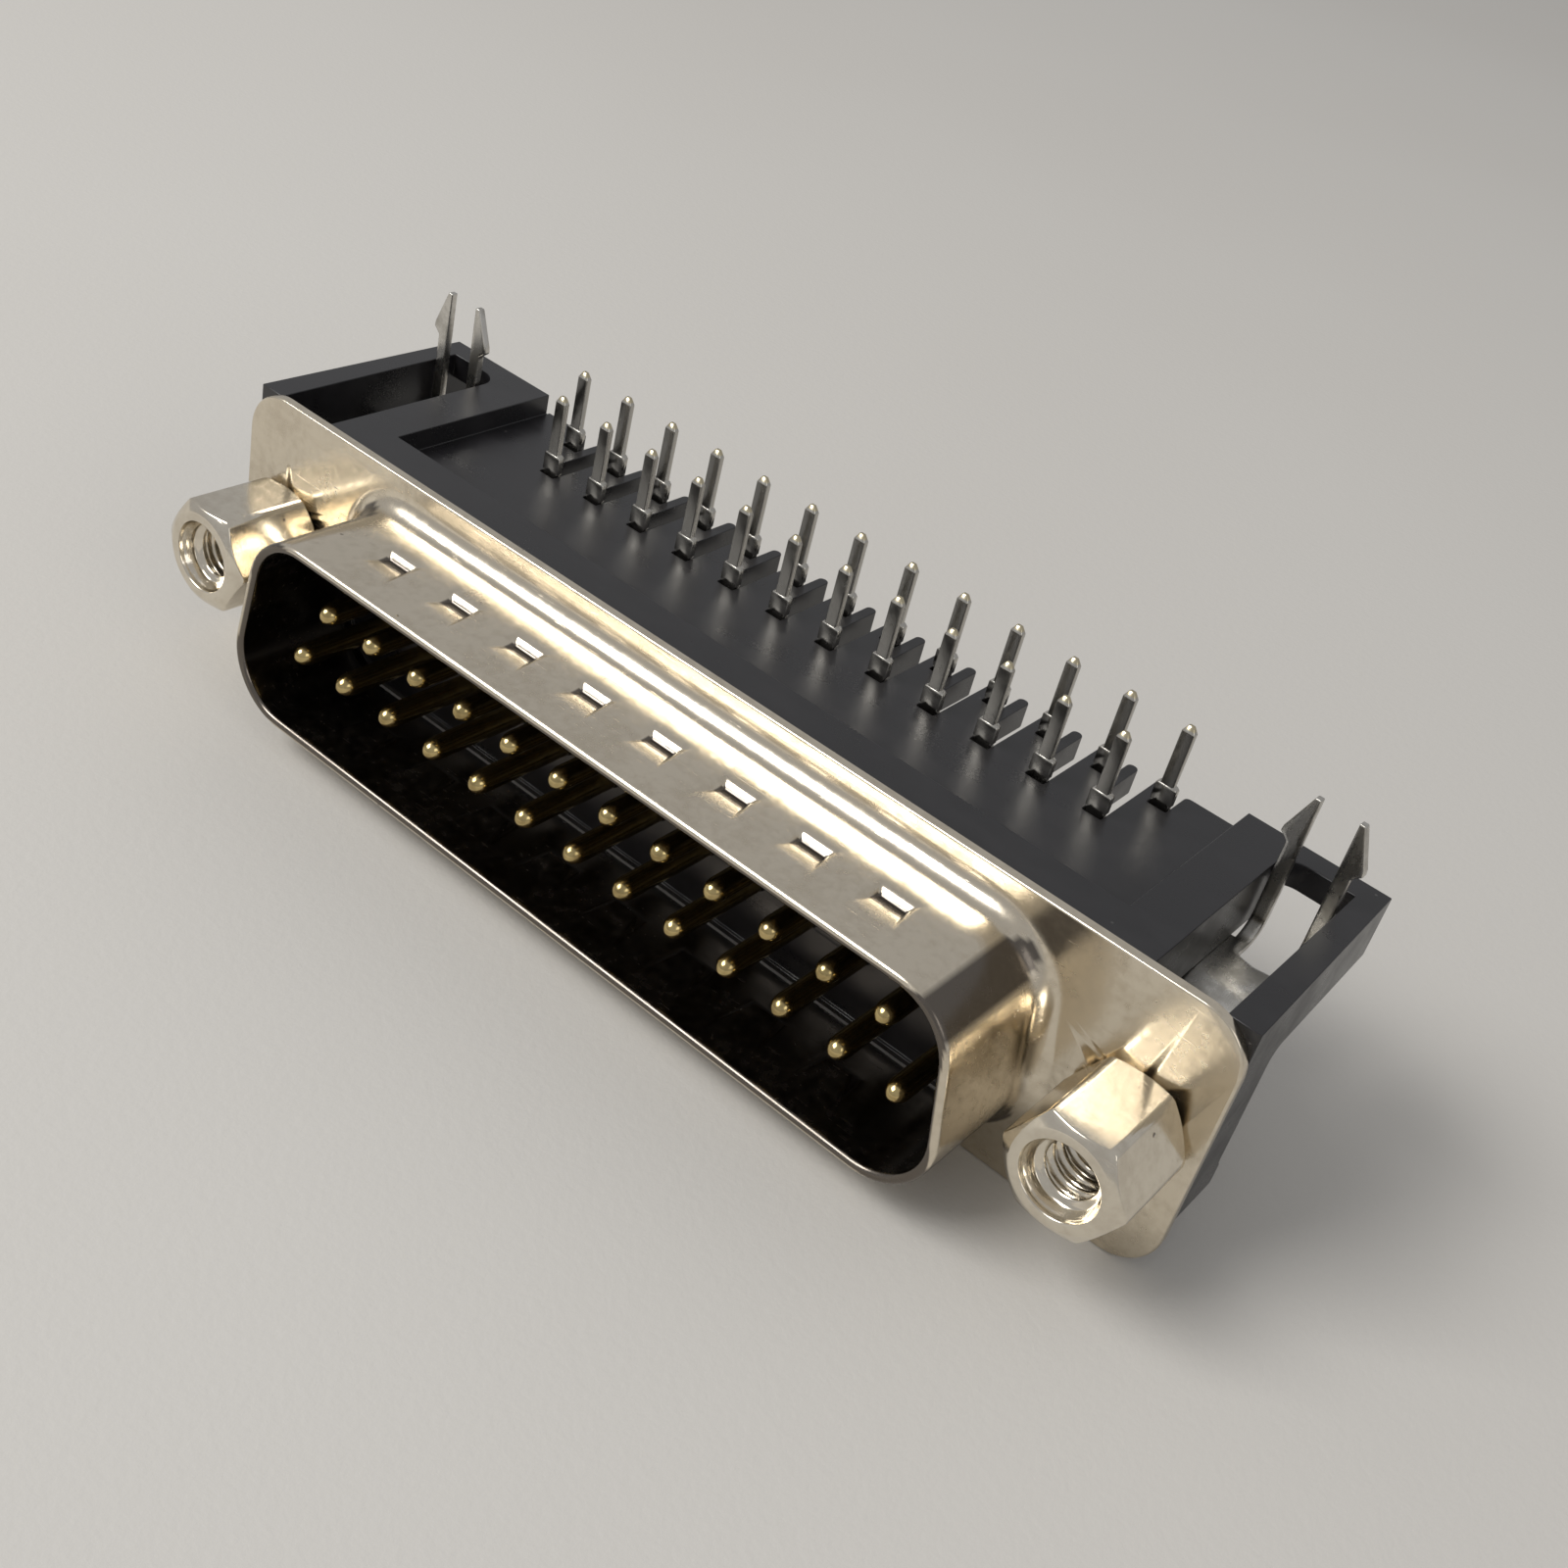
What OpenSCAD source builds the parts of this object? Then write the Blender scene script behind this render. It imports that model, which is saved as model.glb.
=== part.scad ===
// D-sub plug for a circuit board, right-angle, with screw sockets and snap-in board locks.
// Frame: origin at the centre of the flange's front face, on the mating axis.
// +X runs along the long axis, +Y from the mating side to the rear, +Z to the circuit board.
// The contacts' number and pitch set the width of the D, and margins lead out from there.

/* [Contacts] */
// Contacts in the long row, on the D's wide side
long_row = 13; // [9:1:13]
// Distance between contacts in a row
pitch = 2.77; // [2.6:0.01:3]
// Distance between the two rows of contacts
row_spacing = 2.84; // [2.6:0.02:3.1]
// Diameter of a mating pin
pin_d = 1.02; // [0.9:0.02:1.1]
// Distance from the mouth of the D back to the pin tips
pin_recess = 1.06; // [0.8:0.02:1.6]
// Length of the rounded pin tip
pin_tip_l = 0.75; // [0.5:0.05:1]
// Thickness of the contact strip
strip_t = 0.35; // [0.25:0.01:0.4]
// Width of the contact strip
strip_w = 0.84; // [0.7:0.02:0.9]
// Inside radius of the contact's bend
strip_bend_r = 0.5; // [0.3:0.05:0.8]
// Width of the shoulder under the circuit board
shoulder_w = 0.96; // [0.9:0.02:1.1]
// Width of the solder tail
tail_w = 0.58; // [0.5:0.02:0.7]
// Length of the solder tail beyond the circuit board
tail_end = 1.25; // [0.8:0.05:1.8]
// Distance from the back of the front block to the front row of solder tails
tail_reach = 4.18; // [3.8:0.02:4.6]
// Distance between the two rows of solder tails
tail_spacing = 2.84; // [2.54:0.02:3.1]

/* [Steel shell] */
// Thickness of the shell's sheet
sheet_t = 0.45; // [0.3:0.05:0.5]
// Distance from the long row's last contact to the D's sharp corner, inside
mouth_margin = 2.86; // [2.7:0.02:3.1]
// Distance from a row of contacts to the long side of the D, inside
row_margin = 2.76; // [2.6:0.02:3]
// Slope of the D's short sides
side_angle = 10; // [8:0.5:11]
// Inside corner radius of the D
mouth_corner_r = 2.6; // [2:0.1:3]
// Length that the D stands proud of the flange
shell_depth = 6; // [5.4:0.1:6.6]
// Outside bend radius where the D runs into the flange
root_r = 1; // [0.6:0.1:1.2]
// Distance from the D's sharp corner to the screw axis
screw_margin = 4.04; // [3.8:0.02:4.5]
// Distance from the screw axis to the flange's end
flange_margin = 3; // [2.7:0.1:4]
// Distance from the inside of the D's long side to the flange's edge
flange_rim = 2.07; // [1.9:0.01:2.5]
// Corner radius of the flange
flange_corner_r = 2.2; // [0.5:0.1:4]
// Clearance of the sockets' studs in the flange
flange_hole_gap = 0.1; // [0.05:0.01:0.3]

/* [Grounding dimples] */
// Dimples on each long side of the D
dimple_count = 8; // [4:1:8]
// Distance from the last dimple to the end of the D's straight side
dimple_end = 2.53; // [2:0.05:4]
// Width of a dimple at the surface
dimple_w = 1.55; // [1:0.05:2]
// Length of a dimple's ramp
dimple_l = 1.45; // [1.2:0.05:2]
// Depth of a dimple at its steep end
dimple_d = 0.36; // [0.2:0.02:0.5]
// Distance from the flange to the steep end
dimple_y = 2.45; // [2:0.05:3]

/* [Moulded housing] */
// Thickness of the front block
block_t = 3.45; // [3.2:0.05:3.8]
// Distance from the flange's top edge down to the board seat
seat_inset = 0.2; // [0.05:0.05:0.4]
// Distance from the flange's bottom edge up to the moulding
bottom_inset = 1.35; // [0.8:0.05:1.6]
// Distance from the flange's end in to the moulding
side_inset = 0.1; // [0.06:0.02:0.3]
// How much narrower the moulding gets on each side by its rear edge
side_taper = 0.34; // [0.1:0.02:0.4]
// Distance from the rear row of solder tails to the rear edge
rear_margin = 1.23; // [1:0.01:1.6]
// Radius of the bottom corners
body_corner_r = 1.5; // [0.5:0.1:2.5]
// Height of the side and end walls
wall_h = 2.9; // [2.6:0.1:3.1]
// Clearance between a board lock's legs and its pocket
pocket_gap = 0.13; // [0.05:0.01:0.3]
// Thickness of the end walls between pockets and deck
end_wall_t = 2.29; // [1.8:0.01:2.5]
// Thickness of the rear wall behind each pocket
rear_wall_t = 1.2; // [0.8:0.05:1.3]
// Height of the rear wall behind each pocket
rear_wall_h = 1.2; // [0.8:0.1:1.8]
// Radius of the pocket's inner rear corner
pocket_corner_r = 1; // [0.4:0.1:1.1]
// Depth of the centre deck below the board seat
deck_recess = 1; // [0.6:0.05:1.3]
// Thickness of the centre deck
deck_t = 1.2; // [0.9:0.05:1.4]
// Width of the raised band behind the flange
band_w = 2.17; // [1.6:0.01:2.6]
// Depth of the D-shaped face behind the flange
face_recess = 0.15; // [0.05:0.05:0.4]
// Clearance between a contact and its slot in the comb
slot_gap = 0.02; // [0.01:0.01:0.06]
// Distance from a tail's centre to the closed end of its slot
slot_lead = 0.36; // [0.26:0.02:0.5]
// Corner radius of the comb's teeth
tooth_r = 0.24; // [0.1:0.02:0.26]
// Distance that the comb's teeth reach past the walls
comb_reach = 0.2; // [0.1:0.02:0.4]
// Clearance of the sockets' studs in the moulding
passage_gap = 0.18; // [0.1:0.02:0.4]
// Width and height of the hollow round each contact at the block's back
exit_w = 1.5; // [1.3:0.05:1.7]
// Depth of that hollow
exit_d = 0.45; // [0.2:0.05:0.8]
// Clearance between the moulding and what sits in it
fit_gap = 0.02; // [0.01:0.01:0.04]

/* [Screw sockets] */
// Width across the flats
hex_af = 4.6; // [4.2:0.05:5]
// Length of the hexagon
hex_l = 4.8; // [4.4:0.1:5.5]
// Angle of the hexagon's chamfers
hex_chamfer = 32; // [25:1:40]
// Major diameter of the thread
thread_d = 2.84; // [2.6:0.02:3]
// Depth of the threaded hole behind its countersink
thread_depth = 3.3; // [2.8:0.1:3.6]
// Width of the countersink round the thread
countersink_w = 0.23; // [0.15:0.01:0.3]
// Depth of the countersink
countersink_depth = 0.55; // [0.3:0.05:0.8]
// Length of the stud beyond its threaded collar
stud_end = 0.45; // [0:0.05:1]
// Radial clearance of the stud in its threaded collar
thread_gap = 0.03; // [0.01:0.01:0.05]

/* [Board locks] */
// Thickness of the circuit board that the barbs grip
board_t = 1.6; // [1.2:0.1:1.8]
// Thickness of the lock's sheet
lock_t = 0.35; // [0.25:0.01:0.4]
// Width of the strap and the screw plate
lock_w = 4.6; // [4.2:0.1:4.8]
// Outside radius of the bend below the strap
lock_low_r = 2; // [1:0.1:2.4]
// Inside radius of the bend at the fork's foot
lock_high_r = 0.9; // [0.6:0.1:1.2]
// Distance from the front row of solder tails back to the middle of the fork
fork_offset = 1.62; // [1.4:0.02:1.8]
// Width of the fork's legs
fork_w = 2.8; // [2.6:0.05:3]
// Width of the slot between the legs
fork_slot_w = 1.6; // [1.2:0.05:1.8]
// Length of the slot beyond the fork, along the strap
fork_slot_l = 1.9; // [1.4:0.1:2.4]
// Corner radius at the slot's closed end
fork_slot_r = 0.4; // [0.2:0.05:0.5]
// Width over the barbs
barb_w = 3.5; // [3.3:0.05:4.1]
// Length of the fork beyond the circuit board
fork_end = 2.05; // [1.6:0.05:2.6]
// Width of the fork at its tip
fork_tip_w = 2.1; // [1.9:0.05:2.4]
// Height of the threaded collar on the screw plate
collar_h = 1; // [0.6:0.1:1.2]
// Wall thickness of the threaded collar
collar_t = 0.45; // [0.3:0.05:0.6]

/* [Hidden] */
short_row = long_row - 1;
CONTACTS = [for (i = [1 : long_row + short_row]) str("contact_", i < 10 ? "0" : "", i)];

$fn = 48;
over = 0.5;                 // how far a cutter runs past the face that it opens
corner_steps = 9;           // straight pieces in a rounded corner
bend_steps = 6;             // straight pieces in a bend of the sheet
rim_w = 0.2;                // flat rim round the drawn D that overlaps the flange

mouth_w = (long_row - 1) * pitch + 2 * mouth_margin;
mouth_h = row_spacing + 2 * row_margin;
screw_x = mouth_w / 2 + screw_margin;
flange_w = 2 * (screw_x + flange_margin);
flange_h = mouth_h + 2 * flange_rim;
upper_z = row_spacing / 2;
lower_z = -upper_z;

body_w = flange_w - 2 * side_inset;
body_front_y = sheet_t;
block_rear_y = body_front_y + block_t;
seat_z = flange_h / 2 - seat_inset;
body_bottom = flange_h / 2 - bottom_inset;
wall_bottom_z = seat_z - wall_h;
deck_top_z = seat_z - deck_recess;
deck_bottom_z = deck_top_z - deck_t;
pocket_in_x = screw_x - fork_w / 2 - pocket_gap;
pocket_out_x = screw_x + fork_w / 2 + pocket_gap;
deck_w = 2 * (pocket_in_x - end_wall_t);
slot_w = strip_w + 2 * slot_gap;

tail_y = block_rear_y + tail_reach;
rear_tail_y = tail_y + tail_spacing;
body_rear_y = rear_tail_y + rear_margin;
comb_rear_y = body_rear_y + comb_reach;
tail_tip_z = seat_z + board_t + tail_end;
fork_y = tail_y + fork_offset;
fork_tip_z = seat_z + board_t + fork_end;
stud_l = block_rear_y + fit_gap + lock_t + collar_h + stud_end;

// ---------------------------------------------------------------- outlines

// Points on an arc about c, from angle a0 to angle a1
function arc(c, r, a0, a1, steps) =
    [for (i = [0 : steps]) let (a = a0 + (a1 - a0) * i / steps) [c[0] + r * cos(a), c[1] + r * sin(a)]];

// Rectangle about the origin with four rounded corners
function round_rect(w, h, r) =
    concat(arc([w / 2 - r, r - h / 2], r, -90, 0, corner_steps),
           arc([w / 2 - r, h / 2 - r], r, 0, 90, corner_steps),
           arc([r - w / 2, h / 2 - r], r, 90, 180, corner_steps),
           arc([r - w / 2, r - h / 2], r, 180, 270, corner_steps));

// Half width, at height z, of the line that a corner centre of the D lies on
function corner_x(z) =
    (mouth_w / 2 * cos(side_angle) - mouth_h / 2 * sin(side_angle) - mouth_corner_r - z * sin(side_angle))
    / cos(side_angle);

// The D, narrow side up, grown outwards by d from the inside face of its wall
function d_outline(d) =
    let (z = mouth_h / 2 - mouth_corner_r, low = corner_x(-z), high = corner_x(z), r = mouth_corner_r + d)
    concat(arc([low, -z], r, -90, side_angle, corner_steps),
           arc([high, z], r, side_angle, 90, corner_steps),
           arc([-high, z], r, 90, 180 - side_angle, corner_steps),
           arc([-low, -z], r, 180 - side_angle, 270, corner_steps));

// X of contact i of a row of n contacts
function contact_x(i, n) = (i - (n - 1) / 2) * pitch;

// Extrudes an outline in X and Z from y0 to y1
module along_y(y0, y1) {
    translate([0, y1, 0]) rotate([90, 0, 0]) linear_extrude(height = y1 - y0) children();
}

// Extrudes an outline in Y and Z over a width of w about x
module along_x(x, w) {
    translate([x - w / 2, 0, 0]) rotate([90, 0, 90]) linear_extrude(height = w) children();
}

// Box from one corner to the other
module block(low, high) {
    translate(low) cube(high - low);
}

// Round bar along Y
module rod_y(x, z, d, y0, y1) {
    translate([x, y1, z]) rotate([90, 0, 0]) cylinder(d = d, h = y1 - y0);
}

// Body turned about an axis along Y, from an outline of radius and depth
module turned_y(x, z) {
    translate([x, 0, z]) rotate([-90, 0, 0]) rotate_extrude() children();
}

// ---------------------------------------------------------------- steel shell

// Section through the drawn wall: distance outwards from the inside face, and Y
function wall_section() =
    let (c = [sheet_t + root_r, -root_r], lip = [sheet_t / 2, sheet_t / 2 - shell_depth])
    concat([[c[0] + rim_w, 0]],
           arc(c, root_r, 90, 180, bend_steps),
           arc(lip, sheet_t / 2, 0, -180, bend_steps),
           arc(c, root_r + sheet_t, 180, 90, bend_steps),
           [[c[0] + rim_w, sheet_t]]);

// The drawn D: the wall section carried round the D's outline
module drawn_wall() {
    section = wall_section();
    rings = [for (s = section) [for (p = d_outline(s[0])) [p[0], s[1], p[1]]]];
    n = len(rings[0]);
    m = len(rings);
    polyhedron(
        points = [for (ring = rings) for (p = ring) p],
        faces = [for (j = [0 : m - 1]) for (i = [0 : n - 1])
            let (k = (j + 1) % m, l = (i + 1) % n) [j * n + i, k * n + i, k * n + l, j * n + l]],
        convexity = 6);
}

// Wedge that tapers to nothing towards the mouth, on a face at height z
module ramp(x, z, grow, rise) {
    w = dimple_w / 2 + grow;
    y = -dimple_y + grow;
    slope = dimple_d / dimple_l;
    intersection() {
        along_x(x, 2 * w) polygon([
            [y, z + rise], [y, z], [y - 0.4 * dimple_d, z - dimple_d],
            [y - 0.4 * dimple_d - dimple_l, z], [y - 0.4 * dimple_d - dimple_l - rise / slope, z + rise]]);
        along_y(-shell_depth, 0) polygon([
            [x - w - rise / 2, z + rise], [x - w + dimple_d / 2, z - dimple_d],
            [x + w - dimple_d / 2, z - dimple_d], [x + w + rise / 2, z + rise]]);
    }
}

// One long side's row of dimples, on a face at height z
module dimple_row(z, grow, rise) {
    reach = corner_x(mouth_h / 2 - mouth_corner_r) - dimple_end;
    for (i = [0 : dimple_count - 1])
        ramp(reach * (2 * i / (dimple_count - 1) - 1), z, grow, rise);
}

// Both long sides' dimples
module dimples(z, grow, rise) {
    dimple_row(z, grow, rise);
    mirror([0, 0, 1]) dimple_row(z, grow, rise);
}

module front_shell() {
    color("#c9c3b4") difference() {
        union() {
            difference() {
                along_y(0, sheet_t) polygon(round_rect(flange_w, flange_h, flange_corner_r));
                along_y(-over, sheet_t + over) polygon(d_outline(sheet_t + root_r + rim_w / 2));
                for (side = [-1, 1])
                    rod_y(side * screw_x, 0, thread_d + 2 * flange_hole_gap, -over, sheet_t + over);
            }
            drawn_wall();
            dimples(mouth_h / 2, 0.1, sheet_t / 2);
        }
        dimples(mouth_h / 2 + sheet_t, 0, 0.1);
    }
}

// ---------------------------------------------------------------- moulded housing

// Side view of the front block, in Y and Z
function block_side() =
    let (rail_z = -0.55 * body_bottom, rail_y = block_rear_y + 0.25)
    concat([[body_front_y, seat_z], [body_front_y, -body_bottom], [body_front_y + 1, -body_bottom],
            [rail_y - 0.4, 0.35 - body_bottom], [rail_y, 0.6 - body_bottom],
            [rail_y, rail_z - 0.25], [block_rear_y, rail_z]],
           arc([block_rear_y + 0.7, wall_bottom_z - 0.7], 0.7, 180, 90, bend_steps),
           [[block_rear_y + 0.7, seat_z]]);

// Plan of the moulding, wider at the flange than at the rear, in X and Y
function body_plan() =
    [[-body_w / 2, body_front_y], [body_w / 2, body_front_y],
     [body_w / 2 - side_taper, body_rear_y], [side_taper - body_w / 2, body_rear_y]];

// Front view of the moulding, in X and Z
function body_front() =
    concat(arc([body_w / 2 - body_corner_r, body_corner_r - body_bottom], body_corner_r, -90, 0, corner_steps),
           [[body_w / 2, seat_z], [-body_w / 2, seat_z]],
           arc([body_corner_r - body_w / 2, body_corner_r - body_bottom], body_corner_r, 180, 270, corner_steps));

// Plan of one comb slot with rounded teeth beside its mouth, in X and Y
function slot_plan(x, y) =
    concat([[x - slot_w / 2, y], [x + slot_w / 2, y]],
           arc([x + slot_w / 2 + tooth_r, comb_rear_y - tooth_r], tooth_r, 180, 90, 4),
           [[x + slot_w / 2 + tooth_r, comb_rear_y + over], [x - slot_w / 2 - tooth_r, comb_rear_y + over]],
           arc([x - slot_w / 2 - tooth_r, comb_rear_y - tooth_r], tooth_r, 90, 0, 4));

// Plan of a pocket, with its inner rear corner rounded, in X and Y
function pocket_plan() =
    let (rear = body_rear_y - rear_wall_t)
    concat([[pocket_in_x, body_front_y - over], [pocket_out_x, body_front_y - over], [pocket_out_x, rear]],
           arc([pocket_in_x + pocket_corner_r, rear - pocket_corner_r], pocket_corner_r, 90, 180, corner_steps));

// Front block and the walls, deck and bridges behind it, before the cuts
module body_solid() {
    intersection() {
        union() {
            intersection() {
                along_x(0, body_w) polygon(block_side());
                along_y(0, body_rear_y) polygon(body_front());
            }
            for (side = [-1, 1])
                along_x(side * (deck_w + body_w) / 4, (body_w - deck_w) / 2) polygon([
                    [block_rear_y, wall_bottom_z], [body_rear_y, wall_bottom_z],
                    [body_rear_y, seat_z], [block_rear_y, seat_z]]);
            block([-deck_w / 2 - over, block_rear_y, deck_bottom_z],
                  [deck_w / 2 + over, body_rear_y, deck_top_z]);
        }
        translate([0, 0, -flange_h]) linear_extrude(height = 2 * flange_h) polygon(body_plan());
    }
    block([-deck_w / 2, body_rear_y - rear_wall_t, deck_bottom_z], [deck_w / 2, comb_rear_y, deck_top_z]);
}

// The comb: a slot for each solder tail, open at the rear edge
module comb_cut(n, y) {
    for (i = [0 : n - 1])
        translate([0, 0, deck_bottom_z - over]) linear_extrude(height = deck_t + 2 * over)
            polygon(slot_plan(contact_x(i, n), y - slot_lead));
}

// Passages for one row of contacts: a round bore, a slot for the strip and a hollow at the back
module passages(n, z) {
    w = strip_w / 2 + fit_gap;
    t = strip_t / 2 + fit_gap;
    neck_y = body_front_y + block_t / 2;
    for (i = [0 : n - 1]) {
        x = contact_x(i, n);
        rod_y(x, z, pin_d + 2 * fit_gap, body_front_y - over, neck_y);
        block([x - w, neck_y - over, z - t], [x + w, block_rear_y + over, z + t]);
        block([x - exit_w / 2, block_rear_y - exit_d, z - exit_w / 2],
              [x + exit_w / 2, block_rear_y + over, z + exit_w / 2]);
    }
}

// One pocket, its opening below the rear wall, and the screw passage
module end_cut(side) {
    mirror([side < 0 ? 1 : 0, 0, 0]) {
        translate([0, 0, wall_bottom_z]) linear_extrude(height = wall_h + over) polygon(pocket_plan());
        block([pocket_in_x, body_rear_y - rear_wall_t - over, wall_bottom_z - over],
              [pocket_out_x, body_rear_y + over, seat_z - rear_wall_h]);
        block([pocket_in_x, block_rear_y, wall_bottom_z - over],
              [pocket_out_x, body_rear_y - rear_wall_t - pocket_corner_r, wall_bottom_z + over]);
        rod_y(screw_x, 0, thread_d + 2 * passage_gap, -over, block_rear_y + over);
    }
}

module housing() {
    color("#2f2e30") difference() {
        body_solid();
        block([-deck_w / 2, body_front_y + band_w, deck_top_z], [deck_w / 2, comb_rear_y + over, seat_z + over]);
        along_y(body_front_y - over, body_front_y + face_recess) polygon(d_outline(sheet_t));
        comb_cut(short_row, tail_y);
        comb_cut(long_row, rear_tail_y);
        passages(short_row, upper_z);
        passages(long_row, lower_z);
        for (side = [-1, 1]) end_cut(side);
    }
}

// ---------------------------------------------------------------- contacts

// Side view of the bent strip: along Y at height z, then up to the board
function strip_side(z, y, top) =
    let (h = strip_t / 2, r = strip_bend_r, c = [y - h - r, z + h + r])
    concat([[body_front_y + block_t / 2 - 0.4, z + h], [body_front_y + block_t / 2 - 0.4, z - h]],
           arc(c, r + strip_t, -90, 0, bend_steps),
           [[y + h, top], [y - h, top]],
           arc(c, r, 0, -90, bend_steps));

// Front view of the upright strip: blade, shoulder and tail with a chamfered tip
function tail_front(x) =
    let (b = strip_w / 2, s = shoulder_w / 2, t = tail_w / 2, low = lower_z - strip_t, tip = tail_tip_z)
    [[x - b, low], [x + b, low], [x + b, deck_top_z + 0.05], [x + s, deck_top_z + 0.15],
     [x + s, seat_z - 0.1], [x + s - 0.1, seat_z], [x + t, seat_z], [x + t, tip - 0.3], [x + t / 2, tip],
     [x - t / 2, tip], [x - t, tip - 0.3], [x - t, seat_z], [x - s + 0.1, seat_z],
     [x - s, seat_z - 0.1], [x - s, deck_top_z + 0.15], [x - b, deck_top_z + 0.05]];

// Half outline of the mating pin, in radius and Y
function pin_profile() =
    let (r = pin_d / 2, tip_y = pin_recess - shell_depth, n = 6)
    concat([for (i = [0 : n]) [r * sin(90 * i / n), tip_y + pin_tip_l * (1 - cos(90 * i / n))]],
           [[r, body_front_y + block_t / 2], [0, body_front_y + block_t / 2]]);

// A contact at x in the row at height z, with its solder tail at y
module contact(x, z, y) {
    color("#b39a5c") turned_y(x, z) polygon(pin_profile());
    color("#8f8a80") intersection() {
        along_x(x, shoulder_w) polygon(strip_side(z, y, tail_tip_z));
        along_y(-over, rear_tail_y + over) polygon(tail_front(x));
    }
}

// Contact k: the long row first, on the D's wide side, then the short row
module numbered_contact(k) {
    if (k < long_row) contact(contact_x(k, long_row), lower_z, rear_tail_y);
    else contact(contact_x(k - long_row, short_row), upper_z, tail_y);
}

// ---------------------------------------------------------------- screw sockets

// Hexagon's turned envelope: flat round faces with a chamfer at each end
function hex_envelope() =
    let (corner = hex_af / 2 / cos(30) + 0.1, face = hex_af / 2 - 0.08,
         fall = (corner - face) * tan(hex_chamfer))
    [[0, -hex_l], [face, -hex_l], [corner, fall - hex_l], [corner, -fall], [face, 0], [0, 0]];

// Half outline of the countersunk threaded hole
function socket_hole() =
    let (r = thread_d / 2, mouth = -hex_l, neck = mouth + countersink_depth, end = neck + thread_depth,
         wide = r + countersink_w)
    [[0, mouth - over], [wide, mouth - over], [wide, mouth + 0.1], [r, neck],
     [r, end], [0, end + r * 0.6]];

module jack_socket(side) {
    stud_r = thread_d / 2 - thread_gap;
    color("#c6c2b8") difference() {
        union() {
            intersection() {
                translate([side * screw_x, 0, 0]) rotate([90, 0, 0])
                    cylinder(d = hex_af / cos(30), h = hex_l, $fn = 6);
                turned_y(side * screw_x, 0) polygon(hex_envelope());
            }
            turned_y(side * screw_x, 0) polygon([
                [0, -0.3], [stud_r, -0.3], [stud_r, stud_l - 0.3], [stud_r - 0.3, stud_l], [0, stud_l]]);
        }
        turned_y(side * screw_x, 0) polygon(socket_hole());
    }
}

module jack_socket_left() { jack_socket(-1); }
module jack_socket_right() { jack_socket(1); }

// ---------------------------------------------------------------- board locks

// Side view of the folded sheet: screw plate, strap and fork, in Y and Z
function lock_side() =
    let (plate_y = block_rear_y + fit_gap, strap_z = wall_bottom_z - fit_gap,
         low = [plate_y + lock_low_r, strap_z - lock_low_r],
         face_y = fork_y - lock_t / 2, high = [face_y - lock_high_r, strap_z + lock_high_r],
         foot_z = -lock_w / 2 - over)
    concat([[plate_y + lock_t, foot_z], [plate_y, foot_z]],
           arc(low, lock_low_r, 180, 90, bend_steps),
           arc(high, lock_high_r, -90, 0, bend_steps),
           [[face_y, fork_tip_z], [face_y + lock_t, fork_tip_z]],
           arc(high, lock_high_r + lock_t, 0, -90, bend_steps),
           arc(low, lock_low_r - lock_t, 90, 180, bend_steps));

// Front view of the fork with its barbs, in X and Z
function fork_front() =
    let (leg = fork_w / 2, barb = barb_w / 2, tip = fork_tip_w / 2,
         grip_z = seat_z + board_t + 0.05,
         half = [[leg, wall_bottom_z - lock_low_r], [leg, grip_z - 0.25], [barb, grip_z + 0.05],
                 [barb - 0.03, grip_z + 0.3], [tip + 0.08, fork_tip_z - 0.2], [tip, fork_tip_z]])
    concat(half, [for (i = [len(half) - 1 : -1 : 0]) [-half[i][0], half[i][1]]]);

// The blank's outline: wide up to the fork's bend, then only as wide as the fork
module lock_blank() {
    bend_y = fork_y - lock_t / 2 - lock_high_r;
    block([-lock_w / 2, block_rear_y, 0], [lock_w / 2, bend_y, wall_bottom_z]);
    rod_y(0, 0, lock_w, block_rear_y, block_rear_y + lock_t + 2 * fit_gap);
    along_y(bend_y - over, fork_y + lock_t) polygon(fork_front());
}

// Slot between the legs, with its closed end in the strap, in X and Y
function slot_end() =
    let (end_y = fork_y - lock_t / 2 - fork_slot_l, x = fork_slot_w / 2, r = fork_slot_r)
    concat([[x, fork_y + lock_t], [-x, fork_y + lock_t]],
           arc([r - x, end_y + r], r, 180, 270, 4), arc([x - r, end_y + r], r, 270, 360, 4));

module fork_slot() {
    foot_z = wall_bottom_z - lock_low_r;
    translate([0, 0, foot_z]) linear_extrude(height = fork_tip_z + over - foot_z) polygon(slot_end());
}

module board_lock(side) {
    plate_y = block_rear_y + fit_gap;
    color("#9a9893") translate([side * screw_x, 0, 0]) difference() {
        union() {
            intersection() {
                along_x(0, lock_w) polygon(lock_side());
                lock_blank();
            }
            rod_y(0, 0, thread_d + 2 * collar_t, plate_y + lock_t / 2, plate_y + lock_t + collar_h);
        }
        fork_slot();
        rod_y(0, 0, thread_d, plate_y - over, plate_y + lock_t + collar_h + over);
    }
}

module board_lock_left() { board_lock(-1); }
module board_lock_right() { board_lock(1); }

front_shell();
housing();
jack_socket_left();
jack_socket_right();
board_lock_left();
board_lock_right();
for (k = [0 : len(CONTACTS) - 1])
    numbered_contact(k);
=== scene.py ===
"""Looks of a right-angle D-sub plug: shell, housing, contacts, screw sockets and board locks."""

import logging
import math
from dataclasses import dataclass, field
from enum import Enum
from typing import Any, Iterable, Sequence

import bmesh
import bpy
from mathutils import Matrix, Vector


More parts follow.
